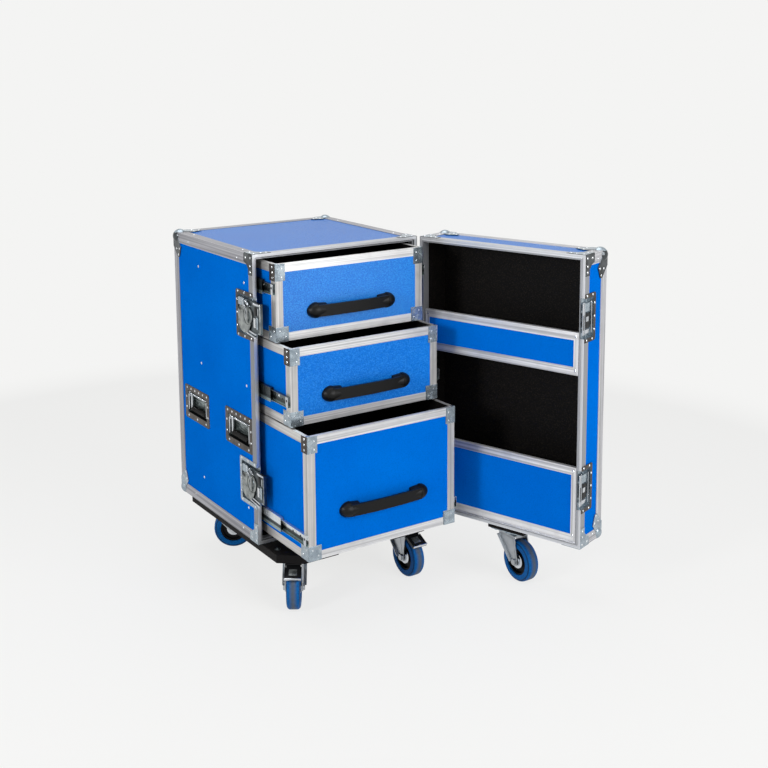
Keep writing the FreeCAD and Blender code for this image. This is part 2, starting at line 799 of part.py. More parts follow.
battens = []
outer_rails = []
for level in LEVELS:
    middle = f"{FEET[level]} + {level}_rail"
    batten = box(
        (f"{LEFT} + {SKIN}", RAIL_FRONT, f"{middle} - batten_tall / 2"),
        (RAIL_X, f"{BACK} - rail_rear", f"{middle} + batten_tall / 2"),
    )
    battens += both(batten)
    tip = f"{RAIL_X} + rail_thick - rail_outer_short"
    outer = channel(RAIL_X, "1", tip, level, "rail_tall / 2", "rail_gauge", RAIL_FRONT)
    outer_rails += both(outer)
    race = "(rail_mid_tall / 2 - rail_in_tall / 2 - rail_gap)"
    tip = f"{RAIL_X} + rail_thick - rail_middle_short"
    web = f"{RAIL_X} + rail_gauge + rail_space"
    mid = channel(web, "1", tip, level, "rail_mid_tall / 2", race, RAIL_FRONT)
    node(f"slide_middle_{level}", both(mid), pulled("0.5", level))
    tip = f"{RAIL_X} + 2 * (rail_gauge + rail_space)"
    inner = channel(f"{LEFT} + drawer_side", "-1", tip, level, "rail_in_tall / 2", "rail_gauge", DRAWER_FACE)
    node(f"slide_inner_{level}", both(inner), pulled("1", level))
node("slide_battens", battens)
node("slide_outer", outer_rails)

# Drawers

DRAWER_LEFT = f"({LEFT} + drawer_side)"
DRAWER_RIGHT = f"({RIGHT} - drawer_side)"
DRAWER_BACK = f"({BACK} - drawer_rear)"
WALL = "(drawer_trim + drawer_wall)"
for level in LEVELS:
    low = FEET[level]
    high = HEADS[level]

    def inside(inset, z_low, z_high):
        return box(
            (f"{DRAWER_LEFT} + {inset}", f"{DRAWER_FACE} + {inset}", z_low),
            (f"{DRAWER_RIGHT} - {inset}", f"{DRAWER_BACK} - {inset}", z_high),
        )

    walls = inside("drawer_trim", f"{low} + drawer_trim", f"{high} - drawer_trim")
    cavity = inside(WALL, f"{low} + {WALL}", f"{high} + {OUT}")
    node(f"drawer_{level}_box", cut(walls, [cavity]), pulled("1", level))

    shell = inside("0", low, high)
    hollow = inside("drawer_trim", f"{low} + drawer_trim", f"{high} - drawer_trim")
    leg = "drawer_leg"
    mouth = inside(WALL, f"{high} - drawer_rim", f"{high} + {OUT}")
    under = inside(leg, f"{low} - {OUT}", f"{low} + drawer_rim")
    ends = box(
        (f"{DRAWER_LEFT} + {leg}", f"{DRAWER_FACE} - {OUT}", f"{low} + {leg}"),
        (f"{DRAWER_RIGHT} - {leg}", f"{DRAWER_BACK} + {OUT}", f"{high} - {leg}"),
    )
    flanks = box(
        (f"{DRAWER_LEFT} - {OUT}", f"{DRAWER_FACE} + {leg}", f"{low} + {leg}"),
        (f"{DRAWER_RIGHT} + {OUT}", f"{DRAWER_BACK} - {leg}", f"{high} - {leg}"),
    )
    trim = cut(shell, [hollow, mouth, under, ends, flanks])
    angles = []
    for wide, tall, at, way in (("cap_wide", "cap_tall", high, "-1"), ("foot_wide", "foot_tall", low, "1")):
        z_end = f"{at} + {way} * {tall}"
        z_low, z_high = sorted_pair(at, z_end, way)
        z_lid = f"{at} - {way} * drawer_trim"
        lid_low, lid_high = sorted_pair(z_lid, at, way)
        t = "drawer_trim"
        angles.append(
            fuse(
                [
                    box((f"{DRAWER_LEFT} - {t}", f"{DRAWER_FACE} - {t}", z_low),
                        (f"{DRAWER_LEFT} + {wide}", DRAWER_FACE, z_high)),
                    box((f"{DRAWER_LEFT} - {t}", f"{DRAWER_FACE} - {t}", z_low),
                        (DRAWER_LEFT, f"{DRAWER_FACE} + {wide}", z_high)),
                    box((f"{DRAWER_LEFT} - {t}", f"{DRAWER_FACE} - {t}", lid_low),
                        (f"{DRAWER_LEFT} + {WALL}", f"{DRAWER_FACE} + {WALL}", lid_high)),
                ]
            )
        )
    node(f"drawer_{level}_trim", [trim] + angles + [mirror(a, "X") for a in angles], pulled("1", level))

    middle = f"({FEET[level]} + {level}_strap)"
    seat = f"({DRAWER_FACE} + drawer_trim)"
    chord = "(strap_half - strap_cap + strap_in_cap)"
    bow = f"(({chord} * {chord} + strap_rise * strap_rise) / (2 * strap_rise))"
    centre_y = f"({seat} - strap_foot - strap_rise + {bow})"
    z_low = f"{middle} - strap_tall / 2"
    band = common(
        [
            cut(
                rod(("0", centre_y, z_low), "Z", f"{bow} + strap_thick", "strap_tall"),
                [rod(("0", centre_y, f"{z_low} - {OUT}"), "Z", bow, f"strap_tall + 2 * {OUT}")],
            ),
            box((f"-{chord}", f"{seat} - {FAR}", z_low), (chord, f"{seat} - {OUT}", f"{z_low} + strap_tall")),
        ]
    )
    pole = "(strap_half - strap_cap)"
    neck_end = "(strap_half - strap_cap - strap_neck)"
    dome = doc.addObject("Part::Ellipsoid", name_of("dome"))
    bind(dome, "Radius1", "strap_cap_tall / 2")
    bind(dome, "Radius2", "strap_cap")
    bind(dome, "Radius3", "strap_cap_out")
    place(dome, (pole, seat, middle))
    front = box(
        (f"{pole} - {OUT}", f"{seat} - {FAR}", f"{middle} - {FAR}"),
        (f"strap_half + {OUT}", seat, f"{middle} + {FAR}"),
    )
    rear = box(
        (f"{neck_end} - {OUT}", f"{seat} - {FAR}", f"{middle} - {FAR}"),
        (f"{pole} + {CLEAR}", seat, f"{middle} + {FAR}"),
    )
    cap = fuse([common([dome, front]), common([taper(pole, neck_end, seat, middle), rear])])
    node(f"drawer_{level}_handle", fuse([band, cap, mirror(cap, "X")]), pulled("1", level))

# The deep door, modelled shut and then turned about its hinges

SHUT_LEFT = f"({LEFT} + profile_thick)"
DOOR_TURN = (
    "create(<<placement>>; create(<<vector>>; 0; 0; 0); "
    "create(<<rotation>>; create(<<vector>>; 0; 0; 1); door_angle); "
    f"create(<<vector>>; {HINGE_X}; {HINGE_Y}; 0))"
)
STRIKE_BACK = "(strike_deep - dish_margin + dish_thick)"
strike_rooms = [latch_room(z, f"{FRONT} - {STRIKE_BACK}", f"{FRONT} + {CLEAR}") for z in LATCHES.values()]
tray = ring_block("profile_thick", f"{DOOR_OUT} + profile_thick", f"{FRONT} - frame_web")
tray_room = ring_block(SKIN, f"{DOOR_OUT} + {SKIN}", f"{FRONT} + {OUT}")
node("door_panels", cut(tray, [tray_room, DOOR_CUBES] + strike_rooms), DOOR_TURN)
DOOR_IN = f"{FRONT} - frame_depth"
node(
    "door_profiles",
    cage(
        (LEFT, DOOR_OUT, BOTTOM),
        (RIGHT, DOOR_IN, TOP),
        THIN,
        (f"{LEFT} + {THIN}", f"{DOOR_OUT} + {THIN}", f"{BOTTOM} + {THIN}"),
        (f"{RIGHT} - {THIN}", f"{DOOR_IN} + {OUT}", f"{TOP} - {THIN}"),
        through_windows(
            f"{DOOR_OUT} - {OUT}", f"{DOOR_IN} + {OUT}", f"{DOOR_OUT} + profile_leg", f"{DOOR_IN} + {OUT}"
        )
        + strike_rooms,
        [DOOR_CUBES],
    ),
    DOOR_TURN,
)
low, high, tools = opening_ring(FRONT, DOOR_IN, "-1")
seal = cut(
    ring_block(f"{GROOVE} + slot_gap", f"{FRONT} - {OUT}", f"{FRONT} + tongue_high"),
    [ring_block("frame_wall", f"{FRONT} - 2 * {OUT}", f"{FRONT} + {CLEAR}")] + strike_rooms,
)
ring = fuse([cut(ring_block("0", low, high), tools + strike_rooms), seal])
node("door_frame", four_sides(ring, f"{DOOR_IN} - {OUT}", f"{FRONT} + {CLEAR}"), DOOR_TURN)
door_balls = [mirror(b, "Y", f"({BACK} + {DOOR_OUT}) / 2") for b in ball_corners]
door_braces = [mirror(b, "Y", FRONT) for b in braces]
node("door_corners", door_balls + door_braces, DOOR_TURN)

# The two bins inside the door

LIP_LEFT = f"({LEFT} + bin_inset)"
LIP_RIGHT = f"({RIGHT} - bin_inset)"
LIP_Y = f"({FRONT} - bin_back)"
LIP_BACK = f"({LIP_Y} - panel_thick)"
LOW_LIP = (f"({BOTTOM} + frame_wall + bin_trim + bin_lift)", f"({BOTTOM} + low_bin_top)")
HIGH_LIP = (f"({TOP} - high_bin_drop - high_bin_tall)", f"({TOP} - high_bin_drop)")
panels = []
trims = []
for low, high in (LOW_LIP, HIGH_LIP):
    lip = box((LIP_LEFT, LIP_BACK, low), (LIP_RIGHT, LIP_Y, high))
    stave = box(
        (f"{LEFT} + frame_wall", f"{LIP_BACK} - bin_stave", low),
        (f"{LEFT} + frame_wall + bin_stave", LIP_BACK, f"{high} - bin_stave"),
    )
    panels.append(fuse([lip] + both(stave)))
    t = "bin_trim"
    trims.append(
        cut(
            box((f"{LIP_LEFT} - {t}", f"{LIP_BACK} - {t}", f"{low} - {t}"),
                (f"{LIP_RIGHT} + {t}", f"{LIP_Y} + {t}", f"{high} + {t}")),
            [
                box((LIP_LEFT, LIP_BACK, low), (LIP_RIGHT, LIP_Y, high)),
                box((f"{LIP_LEFT} + bin_end", f"{LIP_Y} - {OUT}", f"{low} + bin_band"),
                    (f"{LIP_RIGHT} - bin_end", f"{LIP_Y} + {CLEAR}", f"{high} - bin_band")),
                box((f"{LIP_LEFT} - {CLEAR}", f"{LIP_BACK} - {CLEAR}", f"{low} - {CLEAR}"),
                    (f"{LIP_RIGHT} + {CLEAR}", LIP_BACK, f"{high} - bin_rear_band")),
            ],
        )
    )
low, high = HIGH_LIP
panels.append(
    box((f"{LEFT} + frame_wall + bin_stave", f"{DOOR_OUT} + {SKIN}", low),
        (f"{RIGHT} - frame_wall - bin_stave", LIP_BACK, f"{low} + panel_thick"))
)
node("bin_panels", panels, DOOR_TURN)
node("bin_trims", trims, DOOR_TURN)

# Strikes for the latches, on the door's free side

strikes = []
for z in LATCHES.values():
    keeper = box(
        (f"{LEFT} + keeper_in", f"{FRONT} - keeper_far", f"{BOTTOM} + {z} - latch_tall / 2 + dish_margin"),
        (f"{LEFT} + dish_depth", f"{FRONT} - keeper_near", f"{BOTTOM} + {z} + latch_tall / 2 - dish_margin"),
    )
    strikes.append(fuse([latch_dish(z, FRONT, "-1", "strike_deep"), keeper]))
node("strike_dishes", strikes, DOOR_TURN)

# Hinges: the cabinet carries the outer knuckles, the door the middle one and the pin

case_leaves = []
door_leaves = []
for z in ("hinge_low", "(case_height / 2)", "(case_height - hinge_drop)"):
    foot = f"({BOTTOM} + {z} - hinge_tall / 2)"
    third = "hinge_tall / 3"
    leaf = box(
        (RIGHT, FRONT, foot),
        (f"{RIGHT} + hinge_thick", f"{FRONT} + hinge_leaf", f"{foot} + hinge_tall"),
    )
    parts = [leaf]
    for start in (foot, f"{foot} + 2 * {third}"):
        parts.append(
            box((RIGHT, HINGE_Y, start), (f"{RIGHT} + hinge_thick", f"{FRONT} + {OUT}", f"{start} + {third}"))
        )
        parts.append(rod((HINGE_X, HINGE_Y, start), "Z", "knuckle_radius", third))
    bore = rod((HINGE_X, HINGE_Y, f"{foot} - {OUT}"), "Z", "pin_radius + pin_fit", f"hinge_tall + 2 * {OUT}")
    case_leaves.append(cut(fuse(parts), [bore]))
    gap = "hinge_gap"
    leaf = box(
        (RIGHT, f"{FRONT} - frame_depth", foot),
        (f"{RIGHT} + hinge_thick", f"{FRONT} - hinge_heel", f"{foot} + hinge_tall"),
    )
    tab = box(
        (RIGHT, f"{FRONT} - hinge_tab", f"{foot} + {third} + {gap}"),
        (f"{RIGHT} + hinge_thick", HINGE_Y, f"{foot} + 2 * {third} - {gap}"),
    )
    middle_foot = f"{foot} + {third} + {gap}"
    knuckle = rod((HINGE_X, HINGE_Y, middle_foot), "Z", "knuckle_radius", f"{third} - 2 * {gap}")
    pin = rod((HINGE_X, HINGE_Y, foot), "Z", "pin_radius", "hinge_tall")
    door_leaves.append(fuse([leaf, tab, knuckle, pin]))
node("hinge_leaves", case_leaves)
node("door_hinge_leaves", door_leaves, DOOR_TURN)

# Boards under the cabinet and the door

BOARD_FRONT = f"({FRONT} - board_fore)"
BOARD_BACK = f"({BACK} - board_aft)"
BOARD_LEFT = f"({LEFT} + board_inset)"
BOARD_RIGHT = f"({RIGHT} - board_inset)"
outline = [
    (f"{BOARD_LEFT} + board_cut_x", BOARD_FRONT),
    (f"{LEFT} + notch_left", BOARD_FRONT),
    (f"{LEFT} + notch_left", f"{FRONT} - notch_back"),
    (f"{LEFT} + notch_right - notch_slope", f"{FRONT} - notch_back"),
    (f"{LEFT} + notch_right", BOARD_FRONT),
    (f"{BOARD_RIGHT} - board_cut_x", BOARD_FRONT),
    (BOARD_RIGHT, f"{BOARD_FRONT} + board_cut_y"),
    (BOARD_RIGHT, f"{BOARD_BACK} - board_cut_y"),
    (f"{BOARD_RIGHT} - board_cut_x", BOARD_BACK),
    (f"{BOARD_LEFT} + board_cut_x", BOARD_BACK),
    (BOARD_LEFT, f"{BOARD_BACK} - board_cut_y"),
    (BOARD_LEFT, f"{BOARD_FRONT} + board_cut_y"),
]
node("base_board", plate("XY_Plane", outline, "caster_height", "board_thick"))
DOOR_BOARD = (f"({LEFT} + door_board_left)", f"({FRONT} - door_board_back)")
x, y = DOOR_BOARD
board = box(
    (x, f"{y} - door_board_deep", "caster_height"),
    (f"{x} + door_board_wide", y, "caster_height + board_thick"),
)
packer = box(
    (f"{x} + door_packer_inset", f"{y} - door_board_deep", f"caster_height + board_thick - {OUT}"),
    (f"{x} + door_board_wide - door_packer_inset", f"{DOOR_OUT} + profile_leg", BOTTOM),
)
node("door_caster_board", fuse([board, packer]), DOOR_TURN)

# Swivel casters, modelled trailing to the right at the origin and then set in place


def bolted_plate():
    half_long = "plate_long / 2"
    half_wide = "plate_wide / 2"
    under = "caster_height - plate_thick"
    parts = [
        box((f"-{half_long}", f"-{half_wide}", under), (half_long, half_wide, "caster_height")),
        rod(("0", "0", f"{under} - race_high"), "Z", "race_radius", f"race_high + {OUT}"),
    ]
    for u in ("-1", "1"):
        for v in ("-1", "1"):
            at = (f"{u} * plate_bolt_long / 2", f"{v} * plate_bolt_wide / 2", f"{under} - bolt_high")
            parts.append(rod(at, "Z", "bolt_head", f"bolt_high + {OUT}"))
    return fuse(parts)


FORK_TOP = "(caster_height - plate_thick - race_high - swivel_gap)"
LEG_Y = "(fork_inside / 2)"
LEG_OUT = "(fork_inside / 2 + fork_thick)"


def fork(braked):
    """A caster fork: a bridge under the race, two tapering legs and the axle bolt."""
    nose = "pedal_out + fork_nose" if braked else "fork_top_long / 2"
    brow = f"{FORK_TOP} - fork_brow"
    outline = [
        ("-fork_top_long / 2 + fork_heel", FORK_TOP),
        (nose, FORK_TOP),
        (nose, brow),
        ("trail + fork_foot", "wheel_radius + fork_cheek"),
        ("trail + fork_foot", "wheel_radius"),
        ("trail - fork_foot", "wheel_radius"),
        ("-fork_top_long / 2 + fork_heel", brow),
    ]
    sides = []
    for low in (f"-{LEG_OUT}", LEG_Y):
        leg = plate("XZ_Plane", outline, f"-({low} + fork_thick)", "fork_thick")
        foot = rod(("trail", low, "wheel_radius"), "Y", "fork_foot", "fork_thick")
        sides += [leg, foot]
    heel = [
        ("-fork_top_long / 2 + fork_heel", brow),
        ("-fork_top_long / 2 + fork_heel + fork_thick", brow),
        ("trail - fork_foot + fork_thick", "wheel_radius"),
        ("trail - fork_foot", "wheel_radius"),
    ]
    for low in (f"(-{LEG_OUT} - fork_flange)", f"({LEG_OUT} - fork_thick / 2)"):
        wide = "(fork_flange + fork_thick / 2)"
        sides.append(plate("XZ_Plane", heel, f"-({low} + {wide})", wide))
    bridge = box(
        ("-fork_top_long / 2 + fork_heel", f"-{LEG_OUT}", f"{FORK_TOP} - fork_heel"),
        ("fork_top_long / 2", LEG_OUT, FORK_TOP),
    )
    boss = rod(("0", "0", brow), "Z", "fork_cheek", "fork_brow")
    frame = sides + [bridge, boss]
    if braked:
        hole_start = ("pedal_out", f"-{LEG_OUT} - {OUT}", "pedal_up")
        hole = rod(hole_start, "Y", "pedal_pin + axle_fit", f"2 * ({LEG_OUT} + {OUT})")
        frame = [cut(fuse(frame), [hole])]
    bolt_start = ("trail", f"-{LEG_OUT} - axle_out", "wheel_radius")
    bolt = rod(bolt_start, "Y", "axle_radius", f"2 * ({LEG_OUT} + axle_out)")
    heads = [
        rod(("trail", f"-{LEG_OUT} - nut_high", "wheel_radius"), "Y", "axle_radius + nut_wide", "nut_high"),
        rod(("trail", LEG_OUT, "wheel_radius"), "Y", "axle_radius + nut_wide", "nut_high"),
    ]
    return fuse(frame + [bolt] + heads)


def soft_rims(disc, radius, soft):
    """A turned piece with its edges of one radius rounded."""
    disc.recompute()
    turned = doc.addObject("Part::Fillet", name_of("round"))
    turned.Base = disc
    picked = []
    for number, edge in enumerate(disc.Shape.Edges, start=1):
        if isinstance(edge.Curve, Part.Circle) and abs(edge.Curve.Radius - radius) < 0.01:
            picked.append((number, soft, soft))
    turned.Edges = picked
    return turned


def across(radius, width):
    return rod(("trail", f"-({width}) / 2", "wheel_radius"), "Y", radius, width)


def wheel():
    """A tyre on a rim with a hub, bored for the axle."""
    tread = soft_rims(across("wheel_radius", "wheel_wide"), value("wheel_radius"), value("tyre_round"))
    tyre = cut(tread, [across("rim_radius", f"wheel_wide + 2 * {OUT}")])
    rim = fuse([across("rim_radius", "wheel_wide - 2 * rim_step"), across("hub_radius", "hub_wide")])
    bore = across("axle_radius + axle_fit", f"hub_wide + 2 * {OUT}")
    dished = cut(rim, [rim_hollow("-1"), rim_hollow("1"), bore])
    return [tyre, dished]


def rim_hollow(way):
    """The ring-shaped hollow in one face of the rim."""
    y = f"{way} * (wheel_wide / 2 - rim_step)"
    start = y if way == "-1" else f"{y} - rim_pit"
    ring = rod(("trail", start, "wheel_radius"), "Y", "rim_radius - rim_lip", "rim_pit")
    core = rod(("trail", f"{start} - {OUT}", "wheel_radius"), "Y", "hub_radius", f"rim_pit + 2 * {OUT}")
    return cut(ring, [core])


def pedal():
    """A brake pedal with its cross pin."""
    foot = "-pedal_sink"
    face = "pedal_thick - pedal_sink"
    root = box(("0", "-pedal_root / 2", foot), (f"pedal_neck + 2 * {OUT}", "pedal_root / 2", face))
    tread = box(("pedal_neck", "-pedal_wide / 2", foot), ("pedal_long", "pedal_wide / 2", face))
    lip = box(
        ("pedal_long - pedal_lip", "-pedal_wide / 2", foot),
        ("pedal_long", "pedal_wide / 2", "pedal_thick + pedal_lip"),
    )
    cheeks = []
    for way in ("-1", "1"):
        low, high = sorted_pair(f"{way} * (pedal_wide / 2 - pedal_cheek)", f"{way} * pedal_wide / 2", way)
        cheeks.append(box(("pedal_neck", low, foot), ("pedal_long", high, f"pedal_thick + {OUT}")))
    blade = group_of([fuse([root, tread, lip] + cheeks)])
    blade.setExpression(
        "Placement",
        formula(
            "create(<<placement>>; create(<<vector>>; pedal_out; 0; pedal_up); "
            "create(<<rotation>>; create(<<vector>>; 0; 1; 0); pedal_drop))"
        ),
    )
    pin = rod(("pedal_out", f"-{LEG_OUT}", "pedal_up"), "Y", "pedal_pin", f"2 * {LEG_OUT}")
    barrel = rod(("pedal_out", "-pedal_root / 2", "pedal_up"), "Y", "pedal_pin + 2", "pedal_root")
    return fuse([blade, pin, barrel])


def turned_at(x, y, angle):
    return (
        f"create(<<placement>>; create(<<vector>>; {x}; {y}; 0); "
        f"create(<<rotation>>; create(<<vector>>; 0; 0; 1); {angle}))"
    )


plate_body = bolted_plate()
plain_fork = fork(False)
braked_fork = fork(True)
rolling = wheel()
brake = pedal()
DOOR_PIVOT = (f"({DOOR_BOARD[0]} + door_board_wide / 2)", f"({DOOR_BOARD[1]} - door_board_deep / 2)")
px, py = DOOR_PIVOT
SWUNG_X = f"({HINGE_X} + ({px} - {HINGE_X}) * cos(door_angle) - ({py} - {HINGE_Y}) * sin(door_angle))"
SWUNG_Y = f"({HINGE_Y} + ({px} - {HINGE_X}) * sin(door_angle) + ({py} - {HINGE_Y}) * cos(door_angle))"
CASTERS = {
    "front_left": (f"({LEFT} + caster_side)", f"({FRONT} - caster_front)", True),
    "front_right": (f"({RIGHT} - caster_side)", f"({FRONT} - caster_front)", True),
    "rear_left": (f"({LEFT} + caster_side)", f"({BACK} - caster_rear)", False),
    "rear_right": (f"({RIGHT} - caster_side)", f"({BACK} - caster_rear)", False),
    "door": (SWUNG_X, SWUNG_Y, False),
}
seats = []
for word, (x, y, braked) in CASTERS.items():
    turn = turned_at(x, y, f"swivel_{word}")
    node(f"fork_{word}", [braked_fork if braked else plain_fork], turn)
    node(f"wheel_{word}", rolling, turn)
    if braked:
        node(f"pedal_{word}", [brake], turn)
    if word != "door":
        seat = group_of([plate_body])
        seat.setExpression("Placement", formula(turned_at(x, y, "0")))
        seats.append(seat)
    else:
        node("door_caster_plate", [plate_body], turned_at(x, y, "door_angle"))
node("caster_plates", seats)

# Checks, and one file for each piece

doc.recompute()
for obj in doc.Objects:
    if "Invalid" in obj.State or "Error" in obj.State:
        raise RuntimeError(f"{obj.Name} ({obj.Label}) does not build: {obj.State}")
for label, piece in nodes.items():
    if piece.Shape.isNull() or not piece.Shape.isValid():
        raise RuntimeError(f"{label} has no valid shape")
os.makedirs("parts", exist_ok=True)
for label, piece in nodes.items():
    piece.Shape.exportStep(f"parts/{label}.step")
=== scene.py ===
import json
import math

import bmesh
import bpy
from bpy.props import FloatProperty, FloatVectorProperty, PointerProperty
from mathutils import Matrix, Vector


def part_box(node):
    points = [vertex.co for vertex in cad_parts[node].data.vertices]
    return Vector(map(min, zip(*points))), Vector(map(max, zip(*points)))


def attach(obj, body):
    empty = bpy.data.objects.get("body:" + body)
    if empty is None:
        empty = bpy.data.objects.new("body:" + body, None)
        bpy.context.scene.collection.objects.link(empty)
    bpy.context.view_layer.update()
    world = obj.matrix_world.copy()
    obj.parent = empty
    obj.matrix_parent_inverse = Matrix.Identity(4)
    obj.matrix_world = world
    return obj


bl_info = {
    "name": "Drawer flight case",
    "version": (1, 0, 0),
    "blender": (4, 5, 0),
    "location": "3D View > Sidebar > Flight case",
    "description": "Finishes, fittings and stage of a wheeled drawer case with a deep door",
    "category": "Object",
}

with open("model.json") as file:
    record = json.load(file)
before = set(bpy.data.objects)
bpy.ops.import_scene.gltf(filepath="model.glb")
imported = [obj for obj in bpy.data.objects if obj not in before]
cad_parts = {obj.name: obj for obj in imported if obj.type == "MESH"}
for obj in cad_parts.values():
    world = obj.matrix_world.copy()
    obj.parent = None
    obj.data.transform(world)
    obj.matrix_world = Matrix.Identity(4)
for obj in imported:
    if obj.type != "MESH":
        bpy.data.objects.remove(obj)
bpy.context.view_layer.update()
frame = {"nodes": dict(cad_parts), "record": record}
NODES = frame["nodes"]
JOINTS = {joint["name"]: joint for joint in frame["record"]["behaviour"]["joints"]}

# The case in millimetres; depths run back from the cabinet's front, heights up from its underside
WIDE = 560
DEEP = 530
TALL = 850
DOOR_DEEP = 125
LEVELS = ("low", "mid", "high")
DRAWER_BODY = {"low": "bottom_drawer", "mid": "middle_drawer", "high": "top_drawer"}
DRAWER_SHUT = 40
DRAWER_IN = 32
DRAWER_Z = {"low": (27, 381), "mid": (386, 606), "high": (610, 830)}
PULL = {"low": 274, "mid": 187, "high": 112}
RAIL_Z = {"low": 88, "mid": 457, "high": 760}
LATCH_Z = {"lower": 174, "upper": 671}
LATCH_DEEP = 104
STRIKE_DEEP = 62
KNOB_Y = 34
EYE = (77, 15)
DISH_Y = (110, 395)
DISH_Z = 315
DISH_LEG = 63
BAIL_IN = 9.5
GRIP_DROP = 22
GRIP_RISE = 24
SHEET = 1.5
TRIM = 1.2
CASTERS = ("front_left", "front_right", "rear_left", "rear_right", "door")
BRAKED = ("front_left", "front_right")

# The same in metres, in the frame that all the pieces share
WIDTH = WIDE / 1000
HEIGHT = TALL / 1000
BOTTOM = 0.1795
LEFT = -WIDTH / 2
RIGHT = WIDTH / 2
FRONT = -DEEP / 1000 / 2
BACK = DEEP / 1000 / 2
TOP = BOTTOM + HEIGHT
HALFWAY = (BOTTOM + TOP) / 2
DOOR_DEPTH = DOOR_DEEP / 1000
DOOR_ANGLE = math.radians(108.5)
HINGE = Vector((RIGHT + 0.007, FRONT - 0.004, 0.0))
DOOR_TURN = Matrix.Translation(HINGE) @ Matrix.Rotation(DOOR_ANGLE, 4, "Z") @ Matrix.Translation(-HINGE)
SHUT = DOOR_TURN.inverted()
CASE_LOW = Vector((LEFT, FRONT, BOTTOM))
CASE_HIGH = Vector((RIGHT, BACK, TOP))
DOOR_LOW = Vector((LEFT, FRONT - DOOR_DEPTH, BOTTOM))
DOOR_HIGH = Vector((RIGHT, FRONT, TOP))

# How near a face lies to the outside of its piece to count as part of it, in metres
HAIR = 0.0005
SKIN = 0.004

# The angle between two faces under which they are shaded as one surface
SMOOTH = math.radians(35.0)


def srgb(text):
    """A hex colour as linear red, green and blue, with full alpha."""
    parts = [int(text[i : i + 2], 16) / 255 for i in (0, 2, 4)]
    linear = [c / 12.92 if c <= 0.04045 else ((c + 0.055) / 1.055) ** 2.4 for c in parts]
    return (*linear, 1.0)


def add_node(tree, kind, settings=(), links=()):
    """Adds a shader node, sets its inputs or properties, and links its inputs to other nodes' outputs."""
    node = tree.nodes.new(kind)
    for name, setting in dict(settings).items():
        if isinstance(name, str) and hasattr(node, name):
            setattr(node, name, setting)
        else:
            node.inputs[name].default_value = setting
    for name, source in dict(links).items():
        tree.links.new(source, node.inputs[name])
    return node


def operated(tree, kind, operation, operands):
    """A node that works on operands, each of them a value or another node's output."""
    linked = {i: x for i, x in enumerate(operands) if isinstance(x, bpy.types.NodeSocket)}
    fixed = {i: x for i, x in enumerate(operands) if i not in linked}
    return add_node(tree, kind, {"operation": operation, **fixed}, linked)


def maths(tree, operation, *operands):
    """One step of arithmetic on numbers."""
    return operated(tree, "ShaderNodeMath", operation, operands).outputs[0]


def vectors(tree, operation, *operands):
    """One step on vectors, which gives a number where it measures."""
    node = operated(tree, "ShaderNodeVectorMath", operation, operands)
    return node.outputs["Value" if operation in ("DOT_PRODUCT", "LENGTH") else "Vector"]


def new_material(name):
    """An empty node material with its shader, and the tree to build in."""
    material = bpy.data.materials.new(name)
    material.use_nodes = True
    tree = material.node_tree
    tree.nodes.clear()
    shader = add_node(tree, "ShaderNodeBsdfPrincipled")
    add_node(tree, "ShaderNodeOutputMaterial", links={"Surface": shader.outputs["BSDF"]})
    spots = add_node(tree, "ShaderNodeTexCoord").outputs["Object"]
    return material, tree, shader, spots


def ramp(tree, source, low, high, start=0.0, end=1.0, soft=False):
    """Spreads a value between two limits."""
    spread = {"From Min": start, "From Max": end, "To Min": low, "To Max": high}
    if soft:
        spread["interpolation_type"] = "SMOOTHSTEP"
    return add_node(tree, "ShaderNodeMapRange", spread, {"Value": source}).outputs["Result"]


def tint(tree, source, dark, light):
    """Mixes two colours by a value; each is a hex, a colour property or another node's output."""
    mix = add_node(tree, "ShaderNodeMix", {"data_type": "RGBA"}, {0: source})
    for slot, colour in ((6, dark), (7, light)):
        if isinstance(colour, bpy.types.NodeSocket):
            tree.links.new(colour, mix.inputs[slot])
        else:
            mix.inputs[slot].default_value = srgb(colour) if isinstance(colour, str) else (*colour[:3], 1.0)
    return mix.outputs[2]


def shade(tree, source, start, end, dark, light):
    """Goes from one colour to another as a value goes from a start to an end."""
    return tint(tree, ramp(tree, source, 0, 1, start, end), dark, light)


def noise(tree, spots, scale, detail=2.0, stretch=None):
    """A cloudy pattern over the piece; a stretch draws it out along an axis."""
    if stretch:
        spots = add_node(tree, "ShaderNodeMapping", {"Scale": stretch}, {"Vector": spots}).outputs[0]
    cloud = {"Scale": scale, "Detail": detail}
    return add_node(tree, "ShaderNodeTexNoise", cloud, {"Vector": spots}).outputs[0]


def undone(tree, spots, turn):
    """The spots of a piece as they are before it turns."""
    if turn is None:
        return spots
    place = {"Location": turn.to_translation(), "Rotation": turn.to_euler()}
    return add_node(tree, "ShaderNodeMapping", place, {"Vector": spots}).outputs[0]


def finish(tree, shader, colour, rough, metal=0.0, gloss=None, relief=None):
    """Joins a finish: colour, roughness, metal, specular level, and relief as strength, depth and height."""
    tree.links.new(colour, shader.inputs["Base Color"])
    if isinstance(rough, bpy.types.NodeSocket):
        tree.links.new(rough, shader.inputs["Roughness"])
    else:
        shader.inputs["Roughness"].default_value = rough
    shader.inputs["Metallic"].default_value = metal
    if gloss is not None:
        shader.inputs["Specular IOR Level"].default_value = gloss
    if relief:
        strength, depth, height = relief
        bump = add_node(tree, "ShaderNodeBump", {"Strength": strength, "Distance": depth}, {"Height": height})
        tree.links.new(bump.outputs[0], shader.inputs["Normal"])


